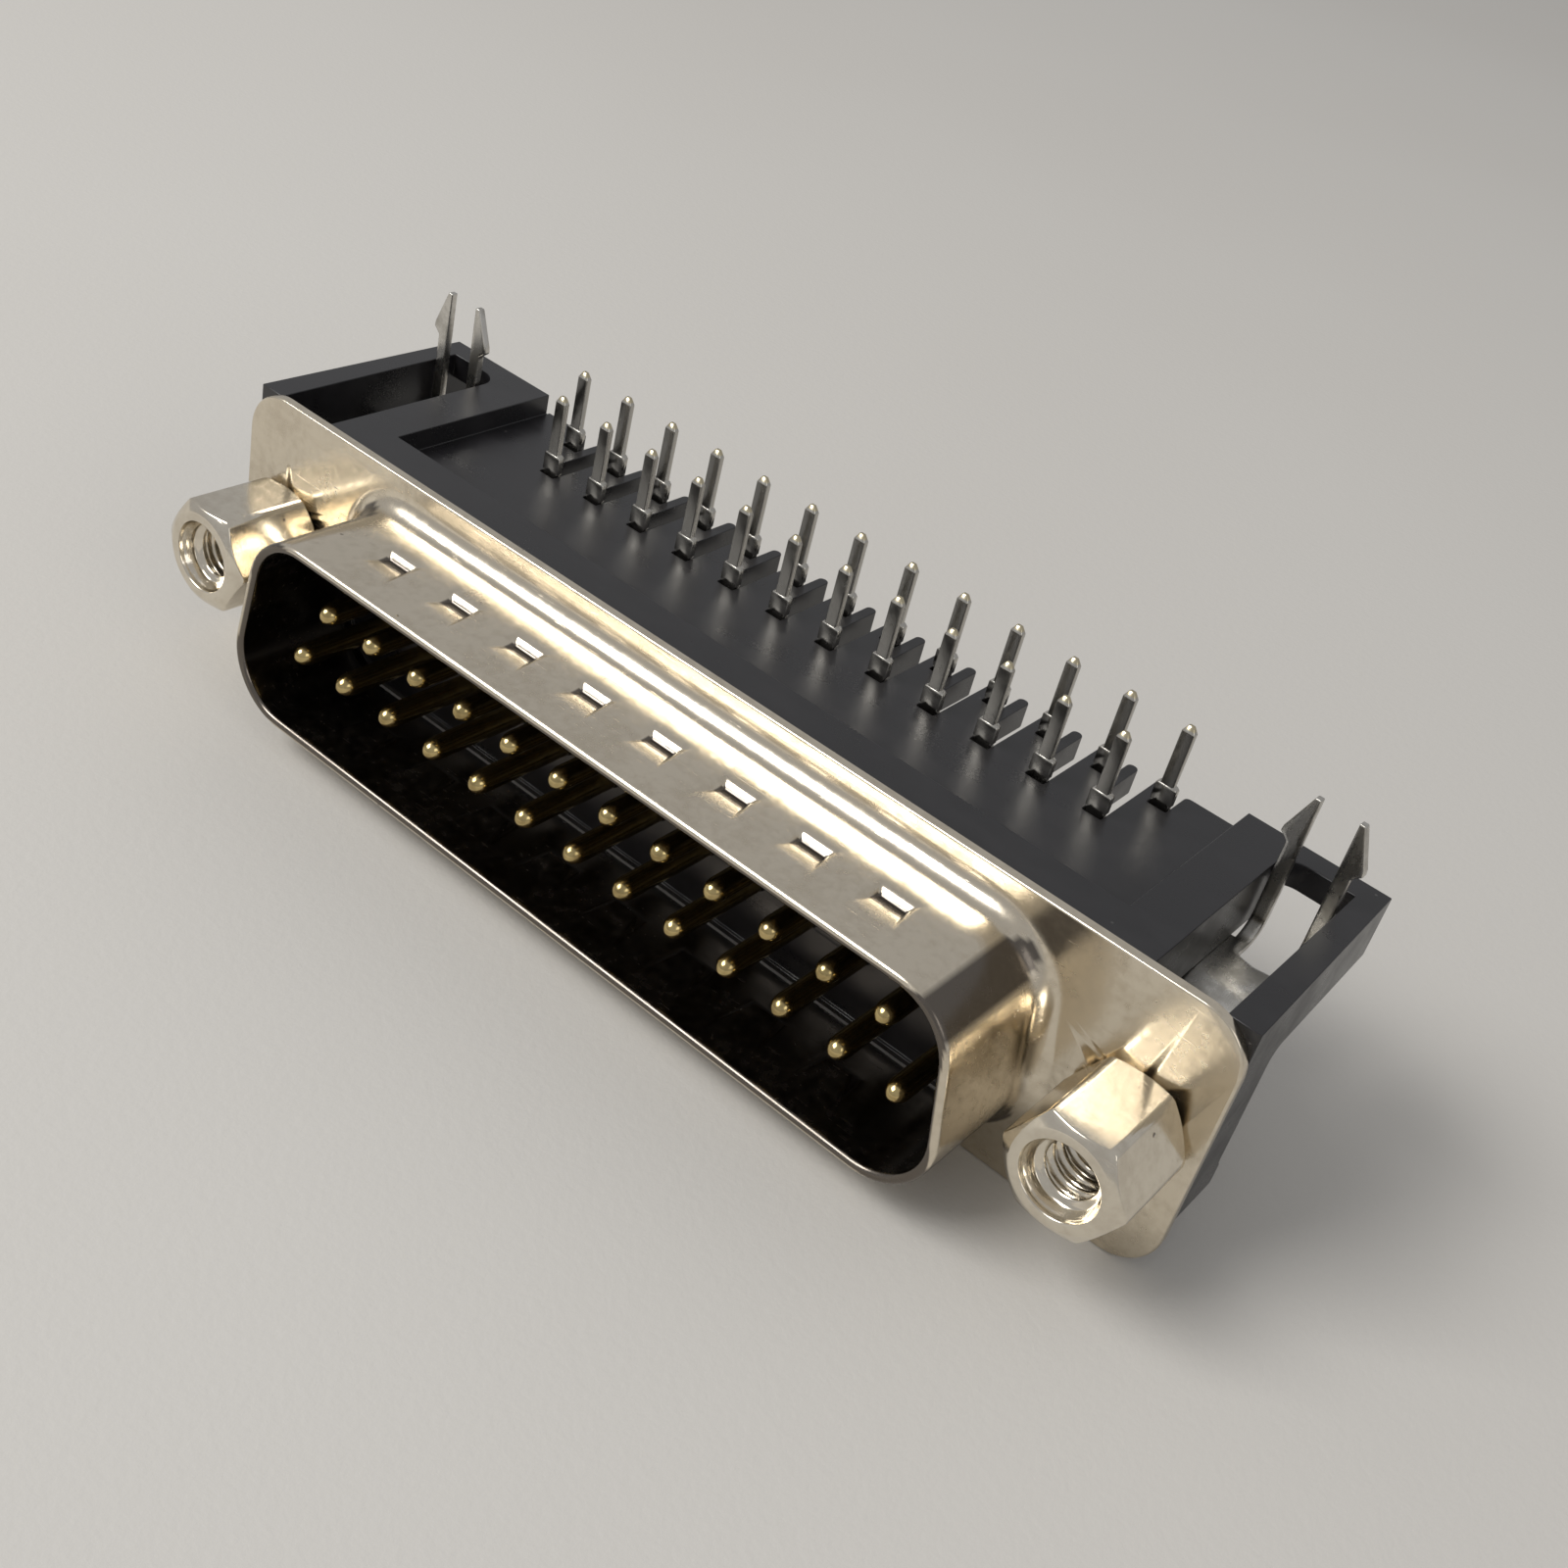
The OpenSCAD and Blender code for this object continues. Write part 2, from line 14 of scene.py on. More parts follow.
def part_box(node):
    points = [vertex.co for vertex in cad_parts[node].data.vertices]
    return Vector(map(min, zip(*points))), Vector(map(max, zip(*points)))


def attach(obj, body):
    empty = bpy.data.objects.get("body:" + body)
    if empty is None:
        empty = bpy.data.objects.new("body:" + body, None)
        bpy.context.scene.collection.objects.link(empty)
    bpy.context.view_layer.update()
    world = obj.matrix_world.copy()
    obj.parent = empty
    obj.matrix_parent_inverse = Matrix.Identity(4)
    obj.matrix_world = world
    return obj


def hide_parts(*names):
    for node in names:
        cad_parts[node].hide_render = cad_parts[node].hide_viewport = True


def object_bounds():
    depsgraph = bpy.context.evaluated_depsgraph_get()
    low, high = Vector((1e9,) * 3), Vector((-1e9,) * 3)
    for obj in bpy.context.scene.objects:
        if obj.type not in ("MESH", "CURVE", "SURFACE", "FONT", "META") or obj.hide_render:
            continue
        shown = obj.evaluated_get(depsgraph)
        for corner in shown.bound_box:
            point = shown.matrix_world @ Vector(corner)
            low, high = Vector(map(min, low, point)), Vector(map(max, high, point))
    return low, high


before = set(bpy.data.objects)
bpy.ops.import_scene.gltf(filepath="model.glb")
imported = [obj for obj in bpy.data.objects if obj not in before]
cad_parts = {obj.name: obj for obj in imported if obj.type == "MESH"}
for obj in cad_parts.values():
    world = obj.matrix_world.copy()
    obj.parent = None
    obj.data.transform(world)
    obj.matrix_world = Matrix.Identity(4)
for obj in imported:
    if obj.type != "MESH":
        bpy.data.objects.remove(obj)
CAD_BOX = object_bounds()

LOG = logging.getLogger("plug")
MM = 0.001
TURN = 2 * math.pi
ROOT = "root"
Point = tuple[float, float, float]
Flat = tuple[float, float]


class Slot(Enum):
    """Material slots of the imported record."""

    SHELL = "shell_nickel"
    HOUSING = "housing_plastic"
    SOCKET = "socket_nickel"
    LOCK = "lock_tin"
    CONTACT = "contact_alloy"


class Side(Enum):
    """The two ends of the plug, with the sign of X."""

    LEFT = -1
    RIGHT = 1

    @property
    def word(self) -> str:
        """The side's name in lower case, as the nodes are named."""
        return self.name.lower()


# ---------------------------------------------------------------- places read from the frame


@dataclass(frozen=True)
class Places:
    """Key places of the plug in metres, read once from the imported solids."""

    flange_w: float
    flange_h: float
    sheet_t: float
    shell_depth: float
    screw_x: float
    hex_l: float
    hex_af: float
    stud_end_y: float
    long_x: tuple[float, ...]
    short_x: tuple[float, ...]
    row_z: float
    pin_r: float
    pin_tip_y: float
    tail_y: float
    rear_tail_y: float
    tail_tip_z: float
    seat_z: float
    lock_w: float
    lock_front_y: float
    lock_rear_y: float
    fork_tip_z: float

    @classmethod
    def from_frame(cls, pin_r: float = 0.51 * MM, strip_t: float = 0.35 * MM) -> "Places":
        """Reads the nodes' boxes.

        Args:
            pin_r: Radius of a mating pin, which sets how far a contact's box reaches past its row.
            strip_t: Thickness of the contact strip, which sets how far it reaches past the tail's middle.

        Returns:
            The places that the pieces are built on.
        """
        shell_low, shell_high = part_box("front_shell")
        socket_low, socket_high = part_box("jack_socket_right")
        lock_low, lock_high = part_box("board_lock_right")
        first_low, first_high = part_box("contact_01")
        count = sum(1 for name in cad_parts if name.startswith("contact_"))
        long_row = (count + 1) // 2
        middles = [sum(corner.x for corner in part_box(f"contact_{k + 1:02d}")) / 2 for k in range(count)]
        short_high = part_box(f"contact_{long_row + 1:02d}")[1]
        return cls(
            flange_w=shell_high.x - shell_low.x,
            flange_h=shell_high.z - shell_low.z,
            sheet_t=shell_high.y,
            shell_depth=-shell_low.y,
            screw_x=(socket_low.x + socket_high.x) / 2,
            hex_l=-socket_low.y,
            hex_af=socket_high.z - socket_low.z,
            stud_end_y=socket_high.y,
            long_x=tuple(middles[:long_row]),
            short_x=tuple(middles[long_row:]),
            row_z=-(first_low.z + pin_r),
            pin_r=pin_r,
            pin_tip_y=first_low.y,
            tail_y=short_high.y - strip_t / 2,
            rear_tail_y=first_high.y - strip_t / 2,
            tail_tip_z=first_high.z,
            seat_z=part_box("housing")[1].z,
            lock_w=lock_high.x - lock_low.x,
            lock_front_y=lock_low.y,
            lock_rear_y=lock_high.y,
            fork_tip_z=lock_high.z,
        )


# ---------------------------------------------------------------- node trees


class Wire:
    """One socket of a node tree, with Python's arithmetic."""

    def __init__(self, bench: "Bench", socket: bpy.types.NodeSocket) -> None:
        """Wraps an output socket.

        Args:
            bench: The bench that adds further nodes.
            socket: The output that carries the value.
        """
        self.bench = bench
        self.socket = socket

    def __add__(self, other: Any) -> "Wire":
        """self + other"""
        return self.bench.math("ADD", self, other)

    def __radd__(self, other: Any) -> "Wire":
        """other + self"""
        return self.bench.math("ADD", other, self)

    def __sub__(self, other: Any) -> "Wire":
        """self - other"""
        return self.bench.math("SUBTRACT", self, other)

    def __rsub__(self, other: Any) -> "Wire":
        """other - self"""
        return self.bench.math("SUBTRACT", other, self)

    def __mul__(self, other: Any) -> "Wire":
        """self * other"""
        return self.bench.math("MULTIPLY", self, other)

    def __rmul__(self, other: Any) -> "Wire":
        """other * self"""
        return self.bench.math("MULTIPLY", other, self)

    def __truediv__(self, other: Any) -> "Wire":
        """self / other"""
        return self.bench.math("DIVIDE", self, other)

    def __abs__(self) -> "Wire":
        """Size without sign"""
        return self.bench.math("ABSOLUTE", self)

    def fraction(self) -> "Wire":
        """The part after the decimal point."""
        return self.bench.math("FRACT", self)

    def ramp(self, low: float, high: float) -> "Wire":
        """Smooth step from 0 at low to 1 at high."""
        settings = {"interpolation_type": "SMOOTHSTEP", "clamp": True}
        inputs = {"Value": self, "From Min": low, "From Max": high}
        return self.bench.wire("ShaderNodeMapRange", settings, inputs)


class Bench:
    """Adds nodes to one tree: a material's, the world's or a Geometry Nodes group."""

    def __init__(self, tree: bpy.types.NodeTree) -> None:
        """Starts on a tree.

        Args:
            tree: The tree that the nodes go into.
        """
        self.tree = tree

    def node(self, kind: str, settings: dict[str, Any] | None = None,
             inputs: dict[Any, Any] | None = None) -> bpy.types.Node:
        """Adds a node, sets its settings first, and then its inputs.

        Args:
            kind: The node's type.
            settings: Attributes of the node, such as an operation; a ramp's stops go in as "stops".
            inputs: Values or wires by the socket's name or index.

        Returns:
            The node.
        """
        made = self.tree.nodes.new(kind)
        for name, value in (settings or {}).items():
            if name == "stops":
                self._set_stops(made, value)
            else:
                setattr(made, name, value)
        for key, value in (inputs or {}).items():
            socket = made.inputs[key]
            if isinstance(value, Wire):
                self.tree.links.new(value.socket, socket)
            else:
                socket.default_value = value
        return made

    @staticmethod
    def _set_stops(ramp: bpy.types.Node, stops: Sequence[tuple[float, Sequence[float]]]) -> None:
        """Sets a Color Ramp's stops.

        Args:
            ramp: The ramp.
            stops: Position and colour of each stop, in order.
        """
        elements = ramp.color_ramp.elements
        while len(elements) < len(stops):
            elements.new(0.5)
        for element, (position, colour) in zip(elements, stops):
            element.position = position
            element.color = (*colour, 1.0)

    def wire(self, kind: str, settings: dict[str, Any] | None = None,
             inputs: dict[Any, Any] | None = None, out: Any = 0) -> Wire:
        """Adds a node and returns one of its outputs.

        Args:
            kind: The node's type.
            settings: Attributes of the node.
            inputs: Values or wires by socket.
            out: Name or index of the output.

        Returns:
            The output as a wire.
        """
        return Wire(self, self.node(kind, settings, inputs).outputs[out])

    def math(self, operation: str, *operands: Any) -> Wire:
        """Adds a Math node.

        Args:
            operation: The Math node's operation.
            operands: Its inputs in order, as numbers or wires.

        Returns:
            The result.
        """
        return self.wire("ShaderNodeMath", {"operation": operation}, dict(enumerate(operands)))


class MaterialBench(Bench):
    """A bench on a new material, with Object coordinates in millimetres."""

    def __init__(self, name: str) -> None:
        """Makes an empty material.

        Args:
            name: The material's name.
        """
        self.material = bpy.data.materials.new(name)
        self.material.use_nodes = True
        self.material.node_tree.nodes.clear()
        super().__init__(self.material.node_tree)
        coordinates = self.wire("ShaderNodeTexCoord", out="Object")
        scale = {0: coordinates, "Scale": 1 / MM}
        self.place = self.wire("ShaderNodeVectorMath", {"operation": "SCALE"}, scale)

    def axis(self, name: str) -> Wire:
        """X, Y or Z of the place on the object, in millimetres."""
        return self.wire("ShaderNodeSeparateXYZ", inputs={0: self.place}, out=name)

    def noise(self, scale: float, detail: float = 2.0, roughness: float = 0.5,
              stretch: Point | None = None) -> Wire:
        """Noise over the object.

        Args:
            scale: Cells to the millimetre.
            detail: Octaves.
            roughness: Strength of the finer octaves.
            stretch: Scale of each axis first, for grain with a direction.

        Returns:
            The noise from 0 to 1.
        """
        place = self.place
        if stretch:
            grain = {"Vector": place, "Scale": stretch}
            place = self.wire("ShaderNodeMapping", {"vector_type": "POINT"}, grain)
        inputs = {"Vector": place, "Scale": scale, "Detail": detail, "Roughness": roughness}
        return self.wire("ShaderNodeTexNoise", inputs=inputs, out="Fac")

    def specks(self, scale: float, size: float) -> Wire:
        """Small round specks scattered over the object.

        Args:
            scale: Cells to the millimetre.
            size: Radius of a speck as a share of its cell.

        Returns:
            1 in a speck and 0 elsewhere.
        """
        inputs = {"Vector": self.place, "Scale": scale, "Randomness": 1.0}
        return 1 - self.wire("ShaderNodeTexVoronoi", inputs=inputs, out="Distance").ramp(size * 0.7, size)

    def mix(self, share: Any, low: Any, high: Any) -> Wire:
        """Mixes two colours.

        Args:
            share: How much of the second colour, as a number or wire.
            low: The first colour.
            high: The second colour.

        Returns:
            The mixed colour.
        """
        colours = [(*c, 1.0) if isinstance(c, tuple) else c for c in (low, high)]
        return self.wire("ShaderNodeMix", {"data_type": "RGBA", "clamp_factor": True},
                         {0: share, 6: colours[0], 7: colours[1]}, out=2)

    def bump(self, height: Wire, depth_mm: float, strength: float = 1.0) -> Wire:
        """Turns a height into a normal.

        Args:
            height: Height from 0 to 1.
            depth_mm: Depth that a height of 1 stands for.
            strength: The Bump node's strength.

        Returns:
            The normal.
        """
        inputs = {"Height": height, "Distance": depth_mm * MM, "Strength": strength}
        return self.wire("ShaderNodeBump", inputs=inputs, out="Normal")

    def surface(self, inputs: dict[str, Any]) -> bpy.types.Material:
        """Closes the material with a Principled shader.

        Args:
            inputs: The shader's inputs by name.

        Returns:
            The finished material.
        """
        shader = self.wire("ShaderNodeBsdfPrincipled", inputs=inputs, out="BSDF")
        self.node("ShaderNodeOutputMaterial", inputs={"Surface": shader})
        return self.material


# ---------------------------------------------------------------- finishes


@dataclass(frozen=True)
class NickelFinish:
    """Nickel plate: warm, glossy with a soft blur, with stains, fine scratches and a few pits; where asked,
    painted shade inside the D.
    """

    name: str
    bright: Point = (0.74, 0.665, 0.54)
    dull: Point = (0.60, 0.53, 0.42)
    roughness: float = 0.17
    roughness_range: float = 0.12
    grain_depth: float = 0.0012
    scratch_depth: float = 0.002
    pit_size: float = 0.06
    # Painted shade and dark reflection of the black moulding inside the D; the inner wall is really the same
    # nickel.
    painted_inside_shade: Point = (0.16, 0.14, 0.12)
    paints_inside_shade: bool = False

    def material(self) -> bpy.types.Material:
        """Builds the material.

        Returns:
            The material.
        """
        bench = MaterialBench(self.name)
        clouds = bench.noise(0.35, 4.0, 0.6)
        mottle = bench.noise(2.2, 3.0, 0.55)
        stains = (mottle * 0.5 + clouds * 0.5).ramp(0.40, 0.66)
        pits = bench.specks(0.55, self.pit_size) * bench.noise(0.9).ramp(0.52, 0.58)
        scratches = bench.noise(1.1, 3.0, 0.6, stretch=(0.35, 6.0, 6.0)).ramp(0.62, 0.70)
        colour = bench.mix(stains * 0.75, self.bright, self.dull)
        colour = bench.mix(pits * 0.8, colour, (0.10, 0.085, 0.07))
        roughness = self.roughness + stains * self.roughness_range + scratches * 0.05
        # Painted shade: points flagged by the attribute inner, inside the D and over the inner half of its lip,
        # take the dark inside colour instead of nickel.
        if self.paints_inside_shade:
            inner = bench.wire("ShaderNodeAttribute", {"attribute_name": "inner"}, out="Fac")
            colour = bench.mix(inner, colour, self.painted_inside_shade)
        height = bench.noise(9.0, 2.0) * self.grain_depth - scratches * self.scratch_depth - pits * 0.02
        return bench.surface({
            "Base Color": colour, "Metallic": 1.0, "Roughness": roughness,
            "Normal": bench.bump(height, 1.0),
        })


@dataclass(frozen=True)
class MouldedFinish:
    """Black glass-filled moulding: semi-gloss, with faint flow marks, dust and dull patches."""

    name: str
    colour: Point = (0.0085, 0.0078, 0.0090)
    worn: Point = (0.014, 0.013, 0.0145)
    dust: Point = (0.16, 0.15, 0.14)
    roughness: float = 0.24
    flow_depth: float = 0.0022

    def material(self) -> bpy.types.Material:
        """Builds the material.

        Returns:
            The material.
        """
        bench = MaterialBench(self.name)
        flow = bench.noise(0.5, 4.0, 0.55, stretch=(0.45, 1.0, 1.0))
        fibres = bench.noise(7.0, 3.0, 0.6)
        dust = bench.specks(0.75, 0.05) * bench.noise(0.6).ramp(0.50, 0.60)
        colour = bench.mix(flow.ramp(0.42, 0.70), self.colour, self.worn)
        colour = bench.mix(dust * 0.5, colour, self.dust)
        roughness = self.roughness + flow.ramp(0.35, 0.75) * 0.12 + fibres * 0.06
        height = flow * self.flow_depth + fibres * 0.0009 + dust * 0.004
        return bench.surface({
            "Base Color": colour, "Roughness": roughness, "Normal": bench.bump(height, 1.0),
            "IOR": 1.56,
        })


@dataclass(frozen=True)
class TinnedFinish:
    """Tinned spring steel: grey, smooth, with rolling grain along the strap."""

    name: str
    bright: Point = (0.62, 0.60, 0.56)
    dull: Point = (0.42, 0.40, 0.36)
    roughness: float = 0.20

    def material(self) -> bpy.types.Material:
        """Builds the material.

        Returns:
            The material.
        """
        bench = MaterialBench(self.name)
        patches = bench.noise(1.2, 3.0, 0.6).ramp(0.35, 0.7)
        grain = bench.noise(5.0, 2.0, 0.5, stretch=(5.0, 0.6, 0.6))
        colour = bench.mix(patches, self.bright, self.dull)
        roughness = self.roughness + patches * 0.10 + grain * 0.08
        return bench.surface({
            "Base Color": colour, "Metallic": 1.0, "Roughness": roughness,
            "Normal": bench.bump(grain, 0.0015),
        })


@dataclass(frozen=True)
class PlatedContactFinish:
    """Contacts: gold-flashed at the mating pin, tinned at the solder tail, with golden cut tips."""

    name: str
    gold: Point = (0.60, 0.47, 0.22)
    gold_dull: Point = (0.36, 0.27, 0.12)
    tin: Point = (0.50, 0.48, 0.44)
    tip: Point = (0.58, 0.48, 0.26)
    seam_y_mm: float = 1.5
    tip_z_mm: float = 8.70
    roughness: float = 0.13

    def material(self) -> bpy.types.Material:
        """Builds the material.

        Returns:
            The material.
        """
        bench = MaterialBench(self.name)
        patches = bench.noise(1.6, 3.0, 0.6).ramp(0.35, 0.7)
        tail = bench.axis("Y").ramp(self.seam_y_mm - 0.3, self.seam_y_mm + 0.3)
        cut = bench.axis("Z").ramp(self.tip_z_mm - 0.05, self.tip_z_mm + 0.05)
        gold = bench.mix(patches, self.gold, self.gold_dull)
        colour = bench.mix(tail, gold, self.tin)
        colour = bench.mix(cut * 0.6, colour, self.tip)
        grain = bench.noise(6.0, 2.0, 0.5, stretch=(4.0, 4.0, 0.5))
        roughness = self.roughness + patches * 0.08 + tail * 0.04 + grain * 0.04
        return bench.surface({
            "Base Color": colour, "Metallic": 1.0, "Roughness": roughness,
            "Normal": bench.bump(grain, 0.0010),
        })


@dataclass(frozen=True)
class FloorFinish:
    """Pale warm-grey studio floor."""

    name: str = "studio_floor"
    near: Point = (0.56, 0.535, 0.50)
    far: Point = (0.60, 0.585, 0.555)

    def material(self) -> bpy.types.Material:
        """Builds the material.

        Returns:
            The material.
        """
        bench = MaterialBench(self.name)
        soft = bench.noise(0.012, 2.0)
        colour = bench.mix(soft, self.near, self.far)
        return bench.surface({
            "Base Color": colour, "Roughness": 0.85, "Specular IOR Level": 0.2,
            "Normal": bench.bump(bench.noise(2.5, 3.0, 0.6), 0.02),
        })


# ---------------------------------------------------------------- mesh helpers


def arc(centre: Flat, radius: float, start: float, end: float, steps: int) -> list[Flat]:
    """Points on an arc.

    Args:
        centre: The arc's centre.
        radius: Its radius.
        start: First angle, in degrees.
        end: Last angle, in degrees.
        steps: Straight pieces in the arc.

    Returns:
        The points, both ends included.
    """
    angles = [math.radians(start + (end - start) * i / steps) for i in range(steps + 1)]
    return [(centre[0] + radius * math.cos(a), centre[1] + radius * math.sin(a)) for a in angles]


def spread(low: float, high: float, count: int) -> list[float]:
    """Evenly spaced numbers.

    Args:
        low: The first.
        high: The last.
        count: How many.

    Returns:
        The numbers.
    """
    return [low + (high - low) * i / (count - 1) for i in range(count)]


def round_rect(w: float, h: float, r: float, steps: int = 16) -> list[Flat]:
    """Outline of a rectangle with rounded corners, anticlockwise.

    Args:
        w: Width.
        h: Height.
        r: Corner radius.
        steps: Straight pieces in a corner.

    Returns:
        The outline's points.
    """
    corners = [(1, -1, -90), (1, 1, 0), (-1, 1, 90), (-1, -1, 180)]
    return [p for sx, sy, a in corners
            for p in arc((sx * (w / 2 - r), sy * (h / 2 - r)), r, a, a + 90, steps)]


def softened(points: Sequence[Flat], radius: float) -> list[Flat]:
    """Rounds the inner corners of an open line with three points each.

    Args:
        points: The line's corners.
        radius: Distance from a corner at which its rounding starts.

    Returns:
        The line with rounded corners.
    """
    line = [points[0]]
    for before, corner, after in zip(points, points[1:], points[2:]):
        ends = []
        for other in (before, after):
            gap = math.dist(corner, other)
            share = min(radius, gap * 0.45) / gap if gap > 1e-9 else 0.0
            ends.append(tuple(c + (o - c) * share for c, o in zip(corner, other)))
        middle = tuple((a + b) / 4 + c / 2 for a, b, c in zip(ends[0], ends[1], corner))
        line.extend([ends[0], middle, ends[1]])
    return line + [points[-1]]


class RingMesh:
    """Collects rings of points, skins them, and makes one mesh of the result."""

    def __init__(self) -> None:
        """Starts empty."""
        self.points: list[Point] = []
        self.faces: list[tuple[int, ...]] = []
        self.fills: list[list[list[int]]] = []

    def ring(self, points: Iterable[Point]) -> list[int]:
        """Adds a ring.

        Args:
            points: The ring's points.

        Returns:
            Their numbers.
        """
        start = len(self.points)
        self.points.extend(points)
        return list(range(start, len(self.points)))

    def skin(self, rings: Sequence[list[int]], closed: bool = True) -> None:
        """Joins neighbouring rings with quads.

        Args:
            rings: Rings of the same length.
            closed: Whether a ring's last point meets its first.
        """
        for a, b in zip(rings, rings[1:]):
            count = len(a)
            for i in range(count if closed else count - 1):
                j = (i + 1) % count
                self.faces.append((a[i], a[j], b[j], b[i]))

    def cap(self, ring: list[int]) -> None:
        """Closes a ring with one face."""
        self.faces.append(tuple(ring))

    def fill(self, rings: list[list[int]]) -> None:
        """Notes a flat region between rings, filled when the piece is made."""
        self.fills.append(rings)

    def piece(self, name: str) -> bpy.types.Object:
        """Makes the mesh, with its doubles merged and its faces pointing outwards.

        Args:
            name: The object's name.

        Returns:
            The object.
        """
        work = bmesh.new()
        corners = [work.verts.new(p) for p in self.points]
        for face in self.faces:
            if len(set(face)) > 2 and not work.faces.get([corners[i] for i in face]):
                work.faces.new([corners[i] for i in face])
        for rings in self.fills:
            edges = []
            for ring in rings:
                for a, b in zip(ring, ring[1:] + ring[:1]):
                    pair = [corners[a], corners[b]]
                    edges.append(work.edges.get(pair) or work.edges.new(pair))
            bmesh.ops.triangle_fill(work, use_beauty=True, edges=edges)
        bmesh.ops.remove_doubles(work, verts=work.verts, dist=1e-7)
        bmesh.ops.dissolve_degenerate(work, edges=work.edges, dist=1e-8)
        bmesh.ops.recalc_face_normals(work, faces=work.faces)
        mesh = bpy.data.meshes.new(name)
        work.to_mesh(mesh)
        work.free()
        mesh.polygons.foreach_set("use_smooth", [True] * len(mesh.polygons))
        made = bpy.data.objects.new(name, mesh)
        bpy.context.scene.collection.objects.link(made)
        return made


def plain_mesh(piece: bpy.types.Object) -> None:
    """Turns a piece's evaluated result into its own mesh and drops its modifiers.

    Args:
        piece: The piece with live modifiers.
    """
    graph = bpy.context.evaluated_depsgraph_get()
    result = bpy.data.meshes.new_from_object(piece.evaluated_get(graph), depsgraph=graph)
    piece.modifiers.clear()
    piece.data = result


def even_normals(piece: bpy.types.Object) -> None:
    """Lets a piece's large faces keep their own normal, so that narrow edges look rounded."""
    piece.modifiers.new("even_normals", "WEIGHTED_NORMAL").keep_sharp = False


def bevel(piece: bpy.types.Object, width: float, angle: float = 30.0, segments: int = 2) -> None:
    """Rounds a piece's edges.

    Args:
        piece: The piece.
        width: Width of the rounding.
        angle: Least angle of an edge that is rounded, in degrees.
        segments: Faces across the rounding.
    """
    rounding = piece.modifiers.new("rounding", "BEVEL")
    rounding.width = width
    rounding.segments = segments
    rounding.limit_method = "ANGLE"
    rounding.angle_limit = math.radians(angle)
    rounding.use_clamp_overlap = False
    rounding.miter_outer = "MITER_ARC"


def cad_copy(node: str, name: str) -> bpy.types.Object:
    """A merged copy of a CAD node's mesh, with its flat faces whole again.

    Args:
        node: The CAD node.
        name: The copy's name.

    Returns:
        The copy.
    """
    work = bmesh.new()
    work.from_mesh(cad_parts[node].data)
    bmesh.ops.remove_doubles(work, verts=work.verts, dist=2e-7)
    bmesh.ops.dissolve_limit(work, angle_limit=math.radians(0.5), verts=work.verts, edges=work.edges)
    mesh = bpy.data.meshes.new(name)
    work.to_mesh(mesh)
    work.free()
    mesh.polygons.foreach_set("use_smooth", [True] * len(mesh.polygons))
    made = bpy.data.objects.new(name, mesh)
    bpy.context.scene.collection.objects.link(made)
    return made


def hand_over(piece: bpy.types.Object, slot: Slot, material: bpy.types.Material, *nodes: str) -> None:
    """Dresses a finished piece, ties it to the part's body and puts it in its nodes' place.

    Args:
        piece: The piece.
        slot: The record's slot; not used.
        material: Its material.
        nodes: The CAD nodes that it stands for.
    """
    piece.data.materials.clear()
    piece.data.materials.append(material)
    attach(piece, ROOT)
    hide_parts(*nodes)
    LOG.info("%s: %d faces, stands for %s", piece.name, len(piece.data.polygons), ", ".join(nodes))


# ---------------------------------------------------------------- repeats and threads


class TreeMaker:
    """Base of the Geometry Nodes groups: inputs by name, Realize Instances and Set Material last."""

    name = "tree"
    inputs: dict[str, str] = {}

    def __init__(self) -> None:
        """Makes the group and its interface."""
        self.group = bpy.data.node_groups.new(self.name, "GeometryNodeTree")
        self.sockets: dict[str, str] = {}
        face = self.group.interface
        face.new_socket("Geometry", in_out="INPUT", socket_type="NodeSocketGeometry")
        for label, kind in {**self.inputs, "Finish": "NodeSocketMaterial"}.items():
            self.sockets[label] = face.new_socket(label, in_out="INPUT", socket_type=kind).identifier
        face.new_socket("Geometry", in_out="OUTPUT", socket_type="NodeSocketGeometry")
        self.bench = Bench(self.group)
        self.source = self.bench.node("NodeGroupInput")
        shape = self.build()
        whole = self.bench.wire("GeometryNodeRealizeInstances", inputs={"Geometry": shape})
        inputs = {"Geometry": whole, "Material": self.given("Finish")}
        dressed = self.bench.wire("GeometryNodeSetMaterial", inputs=inputs)
        self.bench.node("NodeGroupOutput", inputs={0: dressed})

    def given(self, label: str) -> Wire:
        """One of the group's inputs."""
        return Wire(self.bench, self.source.outputs[label])

    def build(self) -> Wire:
        """Adds the group's own nodes and returns the geometry."""
        raise NotImplementedError

    def apply(self, piece: bpy.types.Object, **values: Any) -> None:
        """Runs the group on a piece and keeps the result as its mesh.

        Args:
            piece: The piece whose mesh goes in.
            values: The group's inputs, with spaces in their names as underscores.
        """
        modifier = piece.modifiers.new(self.name, "NODES")
        modifier.node_group = self.group
        for label, value in values.items():
            modifier[self.sockets[label.replace("_", " ")]] = value
        bpy.context.view_layer.update()
        plain_mesh(piece)


class RowOfContacts(TreeMaker):
    """Repeats one contact along X at the row's pitch."""

    name = "row_of_contacts"
    inputs = {"Count": "NodeSocketInt", "First X": "NodeSocketFloat", "Pitch": "NodeSocketFloat"}

    def build(self) -> Wire:
        """Puts a contact on each point of a line.

        Returns:
            The instances.
        """
        first = self.bench.wire("ShaderNodeCombineXYZ", inputs={0: self.given("First X")})
        step = self.bench.wire("ShaderNodeCombineXYZ", inputs={0: self.given("Pitch")})
        line = self.bench.wire("GeometryNodeMeshLine", {"mode": "OFFSET"},
                               {"Count": self.given("Count"), "Start Location": first, "Offset": step})
        return self.bench.wire("GeometryNodeInstanceOnPoints",
                               inputs={"Points": line, "Instance": self.given("Geometry")})


